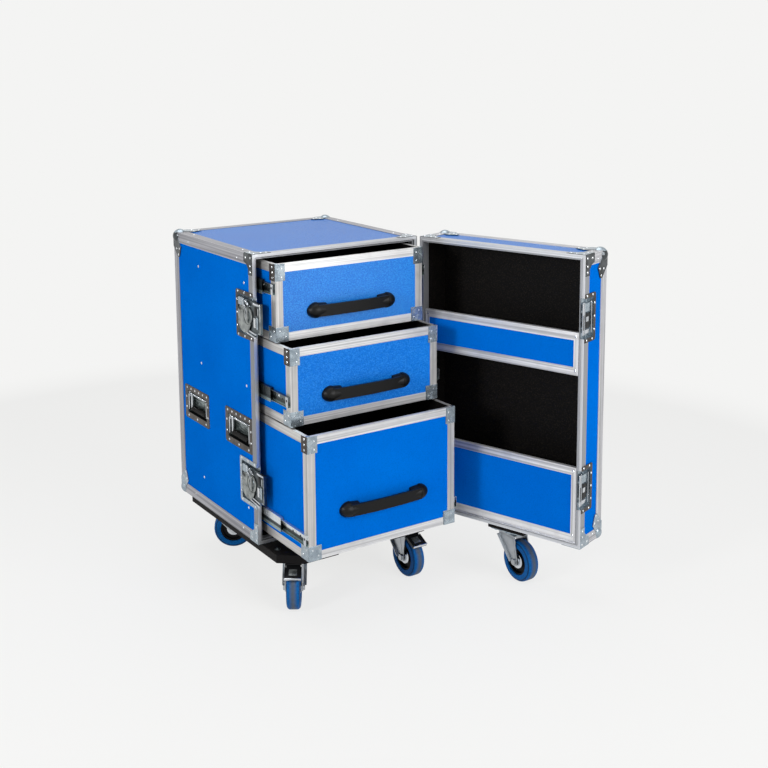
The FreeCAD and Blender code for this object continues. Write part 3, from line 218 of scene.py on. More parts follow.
def laminate(name, deep, dark, light, fleck_and_sheen, gloss, peel=0.25):
    """Phenolic laminate on birch ply: saturated, with a leathery orange peel that breaks up the gloss; on its
    lighter copies the flecks are painted sheen.
    """
    material, tree, shader, spots = new_material(name)
    # The real peel is about a millimetre apart, too fine to see from here: it is drawn at 3.5 and 4.3 mm
    grain = noise(tree, spots, 1 / 0.0035, 3.0)
    cloud = noise(tree, spots, 4.0)
    leather = noise(tree, spots, 1.0, 3.0, (230.0, 230.0, 400.0))
    even = shade(tree, cloud, 0.3, 0.7, dark, light)
    # The flecks are the laminate's own lighter tone on the sides, and painted sheen on the lid and the upper
    # fronts
    worked = tint(tree, ramp(tree, leather, 0, 0.6, 0.42, 0.66), even, fleck_and_sheen)
    colour = tint(tree, ramp(tree, grain, 0.3, 0, 0.38, 0.5), worked, deep)
    finish(tree, shader, colour, ramp(tree, grain, 0.26, 0.44, 0.3, 0.7), 0.0, gloss, (peel, 0.0007, grain))
    return material


def lining(name):
    """Black phenolic lining: a pebbled film, with painted glints on the tops of its grains."""
    colours = bpy.context.scene.flightcase_colours
    material, tree, shader, spots = new_material(name)
    # The real pebbles are under 2 mm, too fine to see from here: they are drawn at 3.4 mm
    cells = add_node(tree, "ShaderNodeTexVoronoi", {"Scale": 1 / 0.0034}, {"Vector": spots})
    speck = ramp(tree, cells.outputs["Distance"], 1, 0, 0.1, 0.6)
    # The grains' centres are lighter: painted glints
    colour = shade(tree, speck, 0.55, 0.95, colours.lining, colours.lining_glint)
    finish(tree, shader, colour, 0.6, 0.0, 0.1, (0.6, 0.0008, speck))
    return material


def extrusion(name, dark, light, run, turn=None):
    """Anodised extruded aluminium: satin, with the die's lines along its run drawn as painted reflection
    streaks, and handling marks.
    """
    material, tree, shader, spots = new_material(name)
    spots = undone(tree, spots, turn)
    # The die's lines are finer than a millimetre; they are drawn 4.2 mm apart so that they show, and their
    # light and dark streaks are painted reflection along the real lines
    reach = [1 / 0.0042] * 3
    reach[run] = 1.6
    lines = noise(tree, spots, 1.0, 2.0, reach)
    marks = noise(tree, spots, 26.0, 4.0)
    drawn = shade(tree, lines, 0.34, 0.62, dark, light)
    colour = tint(tree, ramp(tree, marks, 0.25, 0, 0.3, 0.5), drawn, dark)
    finish(tree, shader, colour, ramp(tree, marks, 0.3, 0.42, 0.3, 0.7), 0.6, None, (0.35, 0.0004, lines))
    return material


def extrusions(word, dark, light, turn=None):
    """The three finishes of a profile, one for each way that it can run."""
    return [extrusion(f"anodised_{word}_{axis}", dark, light, run, turn) for run, axis in enumerate("xyz")]


def ridged(name, dark, light, turn=None):
    """The lipped opening extrusion: satin aluminium whose parallel ribs along its run are drawn only as
    painted highlight and shade in its colour.
    """
    material, tree, shader, spots = new_material(name)
    apart = add_node(tree, "ShaderNodeSeparateXYZ", (), {0: undone(tree, spots, turn)}).outputs
    gaps = []
    for axis, centre, half in (("X", 0.0, WIDTH / 2), ("Z", HALFWAY, HEIGHT / 2)):
        off = maths(tree, "ABSOLUTE", maths(tree, "SUBTRACT", apart[axis], centre))
        gaps.append(maths(tree, "SUBTRACT", half, off))
    waves = []
    for source, period in ((apart["Y"], 0.0072), (maths(tree, "MINIMUM", *gaps), 0.0068)):
        waves.append(maths(tree, "SINE", maths(tree, "MULTIPLY", source, math.tau / period)))
    # The stripes stand for the real ribs catching the light: painted highlight and shade, with no relief
    finish(tree, shader, shade(tree, maths(tree, "ADD", *waves), -1.4, 0.6, dark, light), 0.3, 0.6)
    return material


def plated(name, dark, light, rough=0.2, clouds=30.0, metal=1.0):
    """Zinc or nickel plate on pressed steel: bright, a little clouded where the bath left its bloom."""
    material, tree, shader, spots = new_material(name)
    bloom = noise(tree, spots, clouds)
    colour = shade(tree, bloom, 0.35, 0.65, dark, light)
    uneven = ramp(tree, bloom, rough - 0.02, rough + 0.1, 0.3, 0.7)
    finish(tree, shader, colour, uneven, metal, None, (0.04, 0.0004, bloom))
    return material


def rail_zinc_painted_light(name, middle, bead):
    """A telescopic rail: a painted highlight along its upper bead, painted shade below it over the race, and
    a second, fainter painted highlight lower down.
    """
    material, tree, shader, spots = new_material(name)
    height = add_node(tree, "ShaderNodeSeparateXYZ", (), {0: spots}).outputs["Z"]
    rise = maths(tree, "SUBTRACT", height, middle)
    # Above the middle the bead's painted highlight, below it painted shade
    upper = shade(tree, rise, -0.002, 0.001, "2A3335", bead)
    # A lighter line lower down: a second painted highlight
    lower = tint(tree, ramp(tree, rise, 1, 0, -0.0125, -0.0095), upper, "8FA0A0")
    finish(tree, shader, lower, 0.26, 0.8)
    return material


def coil_reflection_zinc(name, dark, light):
    """The floor of a handle's dish: zinc with a painted reflection of the coils over it, as fine lines along
    the case.
    """
    material, tree, shader, spots = new_material(name)
    lines = noise(tree, spots, 1.0, 3.0, (400.0, 40.0, 420.0))
    colour = shade(tree, lines, 0.4, 0.62, dark, light)
    finish(tree, shader, colour, 0.35, 0.7, None, (0.3, 0.0005, lines))
    return material


def moulded(name, dark, light, rough, grain=0.0012, gloss=0.25):
    """Moulded polymer or lacquer: an eroded die finish that is rougher in its valleys."""
    material, tree, shader, spots = new_material(name)
    pits = noise(tree, spots, 1 / grain)
    uneven = ramp(tree, pits, rough - 0.08, rough + 0.08, 0.3, 0.7)
    finish(tree, shader, tint(tree, pits, dark, light), uneven, 0.0, gloss, (0.25, 0.0003, pits))
    return material


def tyre_rubber(name, axle, along):
    """Elastic rubber: blue with a scrubbed grey tread, its fine moulding lines and a dark ring at the
    shoulder.
    """
    colours = bpy.context.scene.flightcase_colours
    material, tree, shader, spots = new_material(name)
    arm = vectors(tree, "SUBTRACT", spots, axle)
    off = vectors(tree, "DOT_PRODUCT", arm, along)
    radius = vectors(tree, "LENGTH", vectors(tree, "CROSS_PRODUCT", arm, along))
    scuff = noise(tree, spots, 220.0, 3.0)
    # The moulding lines are about a millimetre apart; they are drawn at 3.4 mm so that they show
    ribs = maths(tree, "SINE", maths(tree, "MULTIPLY", off, math.tau / 0.0034))
    blue = shade(tree, scuff, 0.3, 0.7, colours.tyre, colours.tyre_light)
    worn = shade(tree, ribs, -0.6, 0.6, "3A4248", "686B6C")
    inward = ramp(tree, maths(tree, "ABSOLUTE", off), 0.85, 0, 0.002, 0.0125)
    tread = maths(tree, "MULTIPLY", inward, ramp(tree, radius, 0, 1, 0.060, 0.0612))
    rise = ramp(tree, radius, 0, 0.8, 0.0545, 0.0565)
    shoulder = maths(tree, "MULTIPLY", rise, ramp(tree, radius, 1, 0, 0.0575, 0.0595))
    colour = tint(tree, shoulder, tint(tree, tread, blue, worn), "10161C")
    finish(tree, shader, colour, ramp(tree, scuff, 0.4, 0.62, 0.3, 0.7), 0.0, 0.1, (0.4, 0.0005, ribs))
    return material


FINISHES = {}


def finishes():
    """The case's finishes, made once for all the pieces."""
    if FINISHES:
        return FINISHES
    own = bpy.context.scene.flightcase_colours
    light = own.laminate_light
    FINISHES.update(
        blue=laminate("blue_phenolic_laminate", own.laminate_deep, own.laminate, light, light, 0.0),
        # The lid is the same laminate as the sides, lighter as painted sheen where light falls from above
        blue_lid=laminate("blue_laminate_lid", "0052A4", "0068C4", "0070CC", "1E7ED2", 0.3),
        # The upper and middle fronts are lighter copies of the laminate: painted highlight, brightest on the
        # top drawer
        blue_high=laminate("blue_laminate_upper_front", "0054AA", "006CCE", "0076DA", "36A0EE", 0.5, 0.7),
        blue_mid=laminate("blue_laminate_middle_front", "0054AA", "0068CC", "0074D8", "2E90E6", 0.12, 0.7),
        lining=lining("black_phenolic_lining"),
        # One alloy in three copies: the cabinet's is darkened as painted shade, the door's and the bins'
        # lightened as painted light
        shell_alloy=extrusions("shell_extrusion", own.alloy, own.alloy_light),
        door_alloy=extrusions("door_extrusion", "9C9CA0", "D2D2D6", SHUT),
        bin_alloy=extrusions("bin_edging", "B2B2B5", "E9E9EA", SHUT),
        # The drawers' edging is one alloy in copies by the way it runs: the deep and tall runs are darker as
        # painted shade
        edging=extrusion("anodised_edging_x", "B4B4B6", "DEDEDF", 0),
        edging_deep=extrusion("anodised_edging_y", "B0AEAC", "D4D2D0", 1),
        edging_tall=extrusion("anodised_edging_z", "A4A3A3", "CECCCA", 2),
        # The top drawer's edging across is a lighter copy of the alloy: painted light from above
        edging_high=extrusion("anodised_upper_edging", "CACACB", "F4F4F4", 0),
        # The frames' faces that look to the sides take a darker copy: painted shade
        ribbed=ridged("ribbed_opening_extrusion", "94969B", "CDCFD3"),
        ribbed_flank=ridged("ribbed_opening_flank", "5E6066", "929499"),
        door_ribbed=ridged("ribbed_door_extrusion", "94969B", "D2D4D8", SHUT),
        door_flank=ridged("ribbed_door_flank", "6C6E73", "A2A4A9", SHUT),
        zinc=plated("zinc_plated_steel", own.zinc, own.zinc_light, 0.2, 60.0, 0.8),
        bright=plated("nickel_plated_steel", own.nickel, own.nickel_light, 0.12),
        rivet=plated("nickel_rivet", "C4C8CC", "E2E5E8", 0.16),
        # The ball corners' dark base colour is a painted dark reflection
        chrome=plated("chrome_corner_painted_dark_reflection", "37393B", "5C6063", 0.14),
        rim_plate=plated("dark_zinc_rim", "3A3633", "57514D", 0.22),
        fork=plated("zinc_plated_fork", "A9ADB1", "BDC1C5", 0.3),
        shade_zinc=plated("zinc_in_shade", "434A4E", "5E6669", 0.3),
        # The satin plate's strong clouds are painted mottled reflection as well as the plate's bloom
        satin=plated("satin_pressed_steel", "6C7172", "9EA3A1", 0.28, 60.0, 0.7),
        well=coil_reflection_zinc("well_painted_coil_reflection", "2C3638", "97A3A3"),
        board=moulded("black_stained_ply", "080707", "131112", 0.65, 0.004, 0.12),
        strap=moulded("black_moulded_vinyl", own.vinyl, own.vinyl_light, 0.42, 0.0014, 0.2),
        rim=moulded("black_nylon_rim", "050607", "0C0D0F", 0.45, 0.0012, 0.12),
        pedal=moulded("black_lacquered_steel", "101112", "1B1C1E", 0.35),
        # Black for holes and hollows: painted shade where there is only shade
        shadow=moulded("painted_shadow_black", "07090A", "0E1214", 0.4),
    )
    return FINISHES


# The finish that a CAD node has by its record, and the slot that a finish belongs to
FINISH_OF_SLOT = {
    "blue_laminate": "blue",
    "aluminium_profile": "ribbed",
    "bright_plate": "bright",
    "zinc_steel": "zinc",
    "black_board": "board",
    "black_plastic": "strap",
    "wheel_rubber": "rim",
    "black_pedal": "pedal",
}
SLOT_OF_FINISH = {
    "bright": "bright_plate",
    "rivet": "bright_plate",
    "zinc": "zinc_steel",
    "satin": "zinc_steel",
    "shade_zinc": "zinc_steel",
    "fork": "zinc_steel",
    "strap": "black_plastic",
    "shadow": "black_plastic",
}
# Each drawer's front sheet, its edging across, and the painted highlights on the beads of its inner and
# middle rail, which painted shade from the higher drawers darkens. The middle and upper fronts and the top
# drawer's edging are lighter copies of one laminate and one alloy: painted light
DRAWER_LOOK = {
    "low": ("blue", "edging", "D4DADD", "D4DADD"),
    "mid": ("blue_mid", "edging", "5E686C", "3C4446"),
    "high": ("blue_high", "edging_high", "4A5457", "3C4446"),
}


def dress(node, *names, rule=None):
    """Gives a CAD node its finishes; a rule picks one for each face by its middle and normal at rest."""
    mesh = NODES[node].data
    mesh.materials.clear()
    for name in names:
        found = finishes()[name] if isinstance(name, str) else name
        for material in found if isinstance(found, list) else [found]:
            mesh.materials.append(material)
    if rule:
        for face in mesh.polygons:
            face.material_index = rule(face.center, face.normal)


def edge_gap(point, low, high, axis):
    """How far a point lies from the nearer of a box's two faces across an axis."""
    return min(abs(point[axis] - low[axis]), abs(point[axis] - high[axis]))


def shell_rule(low, high, mouth=None):
    """Faces near the outside of a block are blue; the others, and those at its mouth, are lined."""
    axes = range(3) if mouth is None else (0, 2)

    def rule(middle, normal):
        """Blue is 0, lined is 1."""
        if mouth is not None and abs(middle.y - mouth) < 3 * SKIN and normal.y < -0.5:
            return 1
        near = min(edge_gap(middle, low, high, axis) for axis in axes)
        behind = mouth is not None and abs(middle.y - high.y) < SKIN
        return 0 if near < SKIN or behind else 1
    return rule


def front_rule(low, high):
    """A drawer is blue outside and lined inside, and its front has the best sheet."""
    shell = shell_rule(low, high)

    def rule(middle, normal):
        """The front is 2."""
        return 2 if abs(middle.y - low.y) < HAIR and abs(normal.y) > 0.9 else shell(middle, normal)
    return rule


def run_rule(low, high, turn=None):
    """Which way a profile's face runs: along the axis whose ends are further off, in the face's own plane."""
    def rule(middle, normal):
        """The number of the axis."""
        point = turn @ middle if turn else middle
        way = turn.to_3x3() @ normal if turn else normal
        flat = max(range(3), key=lambda i: abs(way[i]))
        other = [i for i in range(3) if i != flat]
        return max(other, key=lambda i: edge_gap(point, low, high, i))
    return rule


def trim_rule(low, high):
    """A drawer's edging runs as a profile does; what stands over it is a corner fitting."""
    run = run_rule(low, high)

    def rule(middle, normal):
        """The fittings are 3, and 4 on the upper flanks."""
        proud = min(edge_gap(middle, low, high, axis) for axis in range(3))
        flank = abs(normal.x) > 0.5 and middle.z > (low.z + high.z) / 2
        return (4 if flank else 3) if proud < 0.0002 else run(middle, normal)
    return rule


def bin_run(middle, normal):
    """The edging of the door's bins runs up at its two ends, and across between them."""
    point = SHUT @ middle
    return 2 if abs(point.x) > WIDTH / 2 - 0.05 and abs(point.y - FRONT) < 0.003 else 0


def rim_rule(node, turn):
    """A dish's rim lies flush with the side; the lower latches' rims are lighter, a handle's sill has painted
    shade.
    """
    def rule(middle, normal):
        """The rim is 1, a lighter rim or a sill in painted shade is 2."""
        point = turn @ middle if turn else middle
        if abs(point.x) > WIDTH / 2 - 0.0003:
            return 2 if node == "latch_dishes" and point.z < BOTTOM + 0.4 else 1
        return 2 if node == "handle_dishes" and normal.z > 0.3 else 0
    return rule


def door_face(middle, normal):
    """The door's tray is blue outside, with the lid's lighter, glossier copy of the laminate on top as
    painted sheen, and lined inside.
    """
    point = SHUT @ middle
    gaps = [edge_gap(point, DOOR_LOW, DOOR_HIGH, axis) for axis in (0, 2)]
    near = min(*gaps, point.y - DOOR_LOW.y)
    if near > SKIN:
        return 1
    return 2 if normal.z > 0.8 else 0


def is_lighter_corner(middle, normal):
    """The lower corner fittings, and the leaves on top, take the lighter zinc; on the leaves on top it is
    painted light from above.
    """
    return middle.z < HALFWAY or normal.z > 0.6


def is_grip(middle, normal):
    """The faces of a bail that its black sleeve covers."""
    return abs(middle.z - BOTTOM - (DISH_Z - GRIP_DROP) / 1000) < 0.0095


def is_flank(middle, normal):
    """The faces of the opening's frame that look to the sides."""
    return abs(normal.x) > 0.7


def is_door_flank(middle, normal):
    """The faces of the door's frame that look to the sides when it is shut."""
    return is_flank(middle, SHUT.to_3x3() @ normal)


def is_bin_inside(middle, normal):
    """All faces of a bin but those in the plane of its front."""
    return (SHUT @ middle).y <= FRONT - SKIN


def wheel_rule(axle, along):
    """Faces inside the rim's radius are its own; those by the axle are the hub."""
    def rule(middle, normal):
        """The tyre is 0, the rim 1, the hub 2."""
        arm = middle - axle
        radius = (arm - arm.dot(along) * along).length
        return 2 if radius < 0.0165 else 1 if radius < 0.0419 else 0
    return rule


def box_of(node):
    """The two corners of a node's box."""
    return [Vector(corner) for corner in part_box(node)]


class FLIGHTCASE_OT_finishes(bpy.types.Operator):
    """Gives every node of the frame its finish"""

    bl_idname = "flightcase.finishes"
    bl_label = "Finish the frame's nodes"

    def execute(self, context):
        FINISHES.clear()
        for part in frame["record"]["subparts"]:
            dress(part["node"], FINISH_OF_SLOT[part["material_slot"]])
        for word in ("high", "low"):
            dress(f"latch_knob_{word}", "satin")
            dress(f"latch_hook_{word}", "shade_zinc")
        for node in NODES:
            if "bail" in node:
                dress(node, "bright", "strap", rule=is_grip)
        for node in ("case_corners", "door_corners"):
            dress(node, "chrome", "zinc", rule=is_lighter_corner)
        dress("handle_dishes", "well", "rim_plate", "shadow", rule=rim_rule("handle_dishes", None))
        for node, turn in (("latch_dishes", None), ("strike_dishes", SHUT)):
            dress(node, "zinc", "rim_plate", "zinc", rule=rim_rule(node, turn))
        dress("opening_frame", "ribbed", "ribbed_flank", rule=is_flank)
        dress("door_frame", "door_ribbed", "door_flank", rule=is_door_flank)
        for node in ("left_panel", "right_panel", "back_panel", "top_panel", "bottom_panel"):
            # The top panel takes the lid's lighter copy of the laminate: painted sheen
            sheet = "blue_lid" if node == "top_panel" else "blue"
            dress(node, sheet, "lining", rule=shell_rule(CASE_LOW, CASE_HIGH, FRONT))
        for level in LEVELS:
            sheet, across, bead, channel = DRAWER_LOOK[level]
            node = f"drawer_{level}_box"
            dress(node, "blue", "lining", sheet, rule=front_rule(*box_of(node)))
            node = f"drawer_{level}_trim"
            rule = trim_rule(*box_of(node))
            dress(node, across, "edging_deep", "edging_tall", "zinc", "rim_plate", rule=rule)
            middle = BOTTOM + RAIL_Z[level] / 1000
            dress(f"slide_inner_{level}", rail_zinc_painted_light(f"{level}_rail_zinc_painted_light", middle, bead))
            dress(f"slide_middle_{level}", rail_zinc_painted_light(f"{level}_channel_zinc_painted_light", middle, channel))
        dress("case_profiles", "shell_alloy", rule=run_rule(CASE_LOW, CASE_HIGH))
        dress("door_profiles", "door_alloy", rule=run_rule(DOOR_LOW, DOOR_HIGH, SHUT))
        dress("bin_trims", "bin_alloy", rule=bin_run)
        dress("door_panels", "blue", "lining", "blue_lid", rule=door_face)
        dress("bin_panels", "blue", "lining", rule=is_bin_inside)
        for word in CASTERS:
            dress(f"fork_{word}", "fork")
            roll = JOINTS[f"{word}_roll"]
            axle = Vector(roll["pos_m"])
            along = Vector(roll["axis"])
            rubber = tyre_rubber(f"{word}_tyre_rubber", axle, along)
            dress(f"wheel_{word}", rubber, "rim", "bright", rule=wheel_rule(axle, along))
        return {"FINISHED"}


def seated(at, x_way, y_way):
    """A place whose own X and Y look along two ways, and its Z along their cross."""
    x = Vector(x_way)
    y = Vector(y_way)
    z = x.cross(y)
    return Matrix.Translation(Vector(at)) @ Matrix((x, y, z)).transposed().to_4x4()


def caster_place(word):
    """A caster's own frame: X the way it trails, Z up, from the floor under its pivot."""
    pivot = Vector(JOINTS[f"{word}_swivel"]["pos_m"])
    axle = Vector(JOINTS[f"{word}_roll"]["pos_m"])
    way = Vector((axle.x - pivot.x, axle.y - pivot.y, 0)).normalized()
    return seated((pivot.x, pivot.y, 0), way, Vector((0, 0, 1)).cross(way))


def case_point(x, y, z):
    """A point of the cabinet, in millimetres from its left, front and bottom faces, in the shared frame."""
    return Vector((x / 1000 + LEFT, y / 1000 + FRONT, z / 1000 + BOTTOM))


def case_place(x, y, z):
    """A place at a point of the cabinet, square to it."""
    return Matrix.Translation(case_point(x, y, z))


def facing(at, normal, spin=0.0):
    """A place whose own Z looks along a normal."""
    turn = Vector(normal).to_track_quat("Z", "Y").to_matrix().to_4x4()
    return Matrix.Translation(Vector(at)) @ turn @ Matrix.Rotation(spin, 4, "Z")


def link(obj):
    """Puts a new object in the scene."""
    bpy.context.scene.collection.objects.link(obj)


def bare():
    """Leaves nothing selected, in object mode."""
    if bpy.context.object and bpy.context.object.mode != "OBJECT":
        bpy.ops.object.mode_set(mode="OBJECT")
    bpy.ops.object.select_all(action="DESELECT")


def open_mesh():
    """Goes to edit mode with the whole mesh selected."""
    bpy.ops.object.mode_set(mode="EDIT")
    bpy.ops.mesh.select_all(action="SELECT")


def lathe(outline, steps=16):
    """Spins (radius, height) points in millimetres about Z; a ring that starts on the axis closes on it."""
    bare()
    ring = [*outline, (0, outline[-1][1])] if outline[0][0] == 0 else outline
    bpy.ops.mesh.primitive_circle_add(vertices=len(ring), fill_type="NOTHING")
    obj = bpy.context.object
    for vertex, (radius, height) in zip(obj.data.vertices, ring):
        vertex.co = (radius / 1000, 0, height / 1000)
    open_mesh()
    bpy.ops.mesh.spin(steps=steps, angle=math.tau, center=(0, 0, 0), axis=(0, 0, 1))
    bpy.ops.mesh.select_all(action="SELECT")
    bpy.ops.mesh.remove_doubles(threshold=0.00001)
    bpy.ops.mesh.normals_make_consistent(inside=False)
    bpy.ops.object.mode_set(mode="OBJECT")
    return obj


def block(low, high, soft):
    """A bar between two corners in millimetres about the origin, with its edges bevelled."""
    bare()
    size = [(b - a) / 1000 for a, b in zip(low, high)]
    middle = [(a + b) / 2000 for a, b in zip(low, high)]
    bpy.ops.mesh.primitive_cube_add(size=1.0, location=middle)
    obj = bpy.context.object
    obj.scale = size
    bpy.ops.object.transform_apply(location=True, rotation=False, scale=True)
    open_mesh()
    bpy.ops.mesh.bevel(offset=soft / 1000, segments=2, affect="EDGES")
    bpy.ops.object.mode_set(mode="OBJECT")
    return obj


def pressing(outline, thick, soft):
    """A flat pressing: a closed outline in millimetres, extruded along Z and softened on top."""
    bare()
    bpy.ops.mesh.primitive_circle_add(vertices=len(outline), fill_type="NGON")
    obj = bpy.context.object
    for vertex, (x, y) in zip(obj.data.vertices, outline):
        vertex.co = (x / 1000, y / 1000, 0)
    open_mesh()
    bpy.ops.mesh.extrude_region_move(TRANSFORM_OT_translate={"value": (0, 0, thick / 1000)})
    bpy.ops.mesh.select_all(action="SELECT")
    bpy.ops.mesh.normals_make_consistent(inside=False)
    top = bmesh.from_edit_mesh(obj.data)
    for edge in top.edges:
        edge.select = all(v.co.z > thick / 2000 for v in edge.verts)
    bmesh.update_edit_mesh(obj.data)
    bpy.ops.mesh.bevel(offset=soft / 1000, segments=2, affect="EDGES")
    bpy.ops.object.mode_set(mode="OBJECT")
    return obj


def coil(radius, wire, pitch, turns, steps=10):
    """A coil spring along Z, from a swept ring."""
    bare()
    curve = bpy.data.curves.new("coil", "CURVE")
    curve.dimensions = "3D"
    curve.bevel_depth = wire / 1000
    curve.bevel_resolution = 1
    curve.use_fill_caps = True
    count = int(turns * steps) + 1
    line = curve.splines.new("POLY")
    line.points.add(count - 1)
    for i, point in enumerate(line.points):
        angle = math.tau * i / steps
        x = radius / 1000 * math.cos(angle)
        y = radius / 1000 * math.sin(angle)
        point.co = (x, y, pitch / 1000 * i / steps, 1)
    obj = bpy.data.objects.new("coil", curve)
    link(obj)
    bpy.context.view_layer.objects.active = obj
    obj.select_set(True)
    bpy.ops.object.convert(target="MESH")
    return bpy.context.object


def crescent(middle, radius, bite, bite_radius, steps=48):
    """The outline of a disc with a smaller disc bitten out of one side."""
    start = math.atan2(bite[1] - middle[1], bite[0] - middle[0])

    def on_ring(centre, size, i):
        """The point of a ring that is i steps on."""
        angle = start + math.tau * i / steps
        return (centre[0] + size * math.cos(angle), centre[1] + size * math.sin(angle))

    outer = [on_ring(middle, radius, i) for i in range(steps + 1)]
    inner = [on_ring(bite, bite_radius, i) for i in range(steps, -1, -1)]
    kept = [point for point in outer if math.dist(point, bite) > bite_radius]
    return kept + [point for point in inner if math.dist(point, middle) < radius]


def spread(source, name, body, places, finish_name, slot=None, keep=False):
    """Sets copies of a modelled piece at each place, joins them, and lets them ride on a body."""
    bare()
    group = []
    for place in places:
        copy = source.copy()
        copy.data = source.data.copy()
        copy.data.transform(place)
        if place.determinant() < 0:
            copy.data.flip_normals()
        link(copy)
        group.append(copy)
    if not keep:
        bpy.data.objects.remove(source)
    for copy in group:
        copy.select_set(True)
    bpy.context.view_layer.objects.active = group[0]
    if len(group) > 1:
        bpy.ops.object.join()
    piece = bpy.context.view_layer.objects.active
    piece.name = name
    piece.matrix_world = Matrix.Identity(4)
    piece.data.materials.clear()
    piece.data.materials.append(finishes()[finish_name])
    bpy.ops.object.shade_smooth_by_angle(angle=SMOOTH)
    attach(piece, body)
    slot or SLOT_OF_FINISH[finish_name]
    return piece


def discard(*sources):
    """Takes away the models that copies were made of."""
    for source in sources:
        bpy.data.objects.remove(source)


def rivet():
    """A domed rivet head: spun, with a small flat rim."""
    sizes = bpy.context.scene.flightcase
    radius = sizes.rivet_radius * 1000
    high = sizes.rivet_height * 1000
    dome = [(0, high), (radius * 0.45, high * 0.92), (radius * 0.8, high * 0.55)]
    return lathe([*dome, (radius, 0.05), (radius, -0.2)], 12)


def screw(dip, crown):
    """A pan-headed screw: spun, with a dip for the driver inside its crown."""
    return lathe([(0, 0.5), (1.2, 0.4), (1.4, dip), (3.2, crown), (4.2, 0.0), (4.2, -0.2)], 14)


def on_sides(points):
    """Places on both of the cabinet's sides, from (y, z, height off the side)."""
    places = []
    for y, z, off in points:
        places.append(facing(case_point(-off, y, z), (-1, 0, 0)))
        places.append(facing(case_point(WIDE + off, y, z), (1, 0, 0)))
    return places


def shell_rivets(near, far):
    """The few rivets that hold the edge profiles to the panels."""
    way = 1 if far > near else -1
    deep = abs(far - near)
    edge = 20
    rows = [near + way * deep * share for share in ((0.18, 0.8) if deep > 200 else (0.6,))]
    places = on_sides([(y, z, 0) for y in rows for z in (edge, TALL - edge)])
    for y in rows:
        for x in (edge, WIDE - edge):
            places += [facing(case_point(x, y, z), (0, 0, n)) for z, n in ((0, -1), (TALL, 1))]
    for x in (150, 410):
        places += [facing(case_point(x, far, z), (0, way, 0)) for z in (edge, TALL - edge)]
    for z in (240, 610):
        places += [facing(case_point(x, far, z), (0, way, 0)) for x in (edge, WIDE - edge)]
    return places


def corner_rivets(far, near, way):
    """Rivets of the ball corners at one end and of the braces at the other."""
    places = []
    lids = ((-SHEET, -1), (TALL + SHEET, 1))
    for a, b in ((20, 52), (42, 50), (34, 70)):
        for z in (b, TALL - b):
            places += on_sides([(far - way * a, z, SHEET)])
            places += [facing(case_point(x, far + way * SHEET, z), (0, way, 0)) for x in (a, WIDE - a)]
        for z, up in lids:
            places += [facing(case_point(x, far - way * a, z), (0, 0, up)) for x in (b, WIDE - b)]
    for a, b in ((10, 10), (38, 12), (11, 33), (11, 50)):
        for z in (b, TALL - b):
            places += on_sides([(near + way * a, z, SHEET)])
        for z, up in lids:
            places += [facing(case_point(x, near + way * a, z), (0, 0, up)) for x in (b, WIDE - b)]
    return places


def dish_rivets(near, deep, way):
    """Rivets round the rim of a latch or strike dish on the left side."""
    places = []
    for z in LATCH_Z.values():
        rows = (0.12, 0.5, 0.88) if deep > 80 else (0.2, 0.72)
        spots = [(near + way * deep * share, z + side) for share in rows for side in (-63, 63)]
        spots += [(near + way * (deep - 6), z + rise) for rise in (-38, 0, 38)]
        places += [facing(case_point(-SHEET, y, height), (-1, 0, 0)) for y, height in spots]
    return places


def drawer_rivets(level):
    """Rivets of a drawer's corner fittings."""
    low, high = DRAWER_Z[level]
    face = DRAWER_SHUT - PULL[level]
    places = []
    for x, out in ((DRAWER_IN, -1), (WIDE - DRAWER_IN, 1)):
        for drop in (9, 24, 39):
            places.append(facing(case_point(x + out * TRIM, face + 15, high - drop), (out, 0, 0)))
        for drop in (14, 38):
            places.append(facing(case_point(x - out * 21, face - TRIM, high - drop), (0, -1, 0)))
        for a, b in ((12, 30), (30, 12)):
            places.append(facing(case_point(x + out * TRIM, face + a, low + b), (out, 0, 0)))
            places.append(facing(case_point(x - out * a, face - TRIM, low + b), (0, -1, 0)))
    return places


class FLIGHTCASE_OT_rivets(bpy.types.Operator):
    """Sets the rivets and screws of the profiles, corners, dishes and panels"""

    bl_idname = "flightcase.rivets"
    bl_label = "Rivets and screws"

    def execute(self, context):
        head = rivet()
        case_places = shell_rivets(0, DEEP) + corner_rivets(DEEP, 0, 1) + dish_rivets(0, LATCH_DEEP, 1)
        spread(head, "case_rivets", "cabinet", case_places, "rivet", keep=True)
        door_places = shell_rivets(0, -DOOR_DEEP) + corner_rivets(-DOOR_DEEP, 0, -1)
        door_places += dish_rivets(0, STRIKE_DEEP, -1)
        spread(head, "door_rivets", "door", [DOOR_TURN @ place for place in door_places], "rivet", keep=True)
        rim = []
        for y in DISH_Y:
            spots = [(y - 70 + 28 * i, DISH_Z + 44.5, 0) for i in range(6)]
            spots += [(y + step, DISH_Z - 44.5, 0) for step in (-62, 0, 62)]
            spots += [(y + step, DISH_Z + rise, 0) for step in (-76.5, 76.5) for rise in (-20, 14)]
            rim += on_sides(spots)
        spread(head, "dish_rivets", "cabinet", rim, "rivet", keep=True)
        pan = screw(1.0, 0.75)
        screws = [(57, 762), (55, 461), (60, 93), (359, 763), (357, 461), (361, 93)]
        places = on_sides([(y, z, -SHEET) for y, z in screws])
        spread(pan, "panel_screws", "cabinet", places, "rivet", keep=True)
        for level in LEVELS:
            body = DRAWER_BODY[level]
            spread(head, f"{body}_rivets", body, drawer_rivets(level), "rivet", keep=True)
        bins = []
        for z in (33, 225, 518, 617):
            bins += [DOOR_TURN @ facing(case_point(x, -1.8, z), (0, 1, 0)) for x in (26, WIDE - 26)]
        spread(pan, "bin_screws", "door", bins, "rivet")
        discard(head)
        return {"FINISHED"}


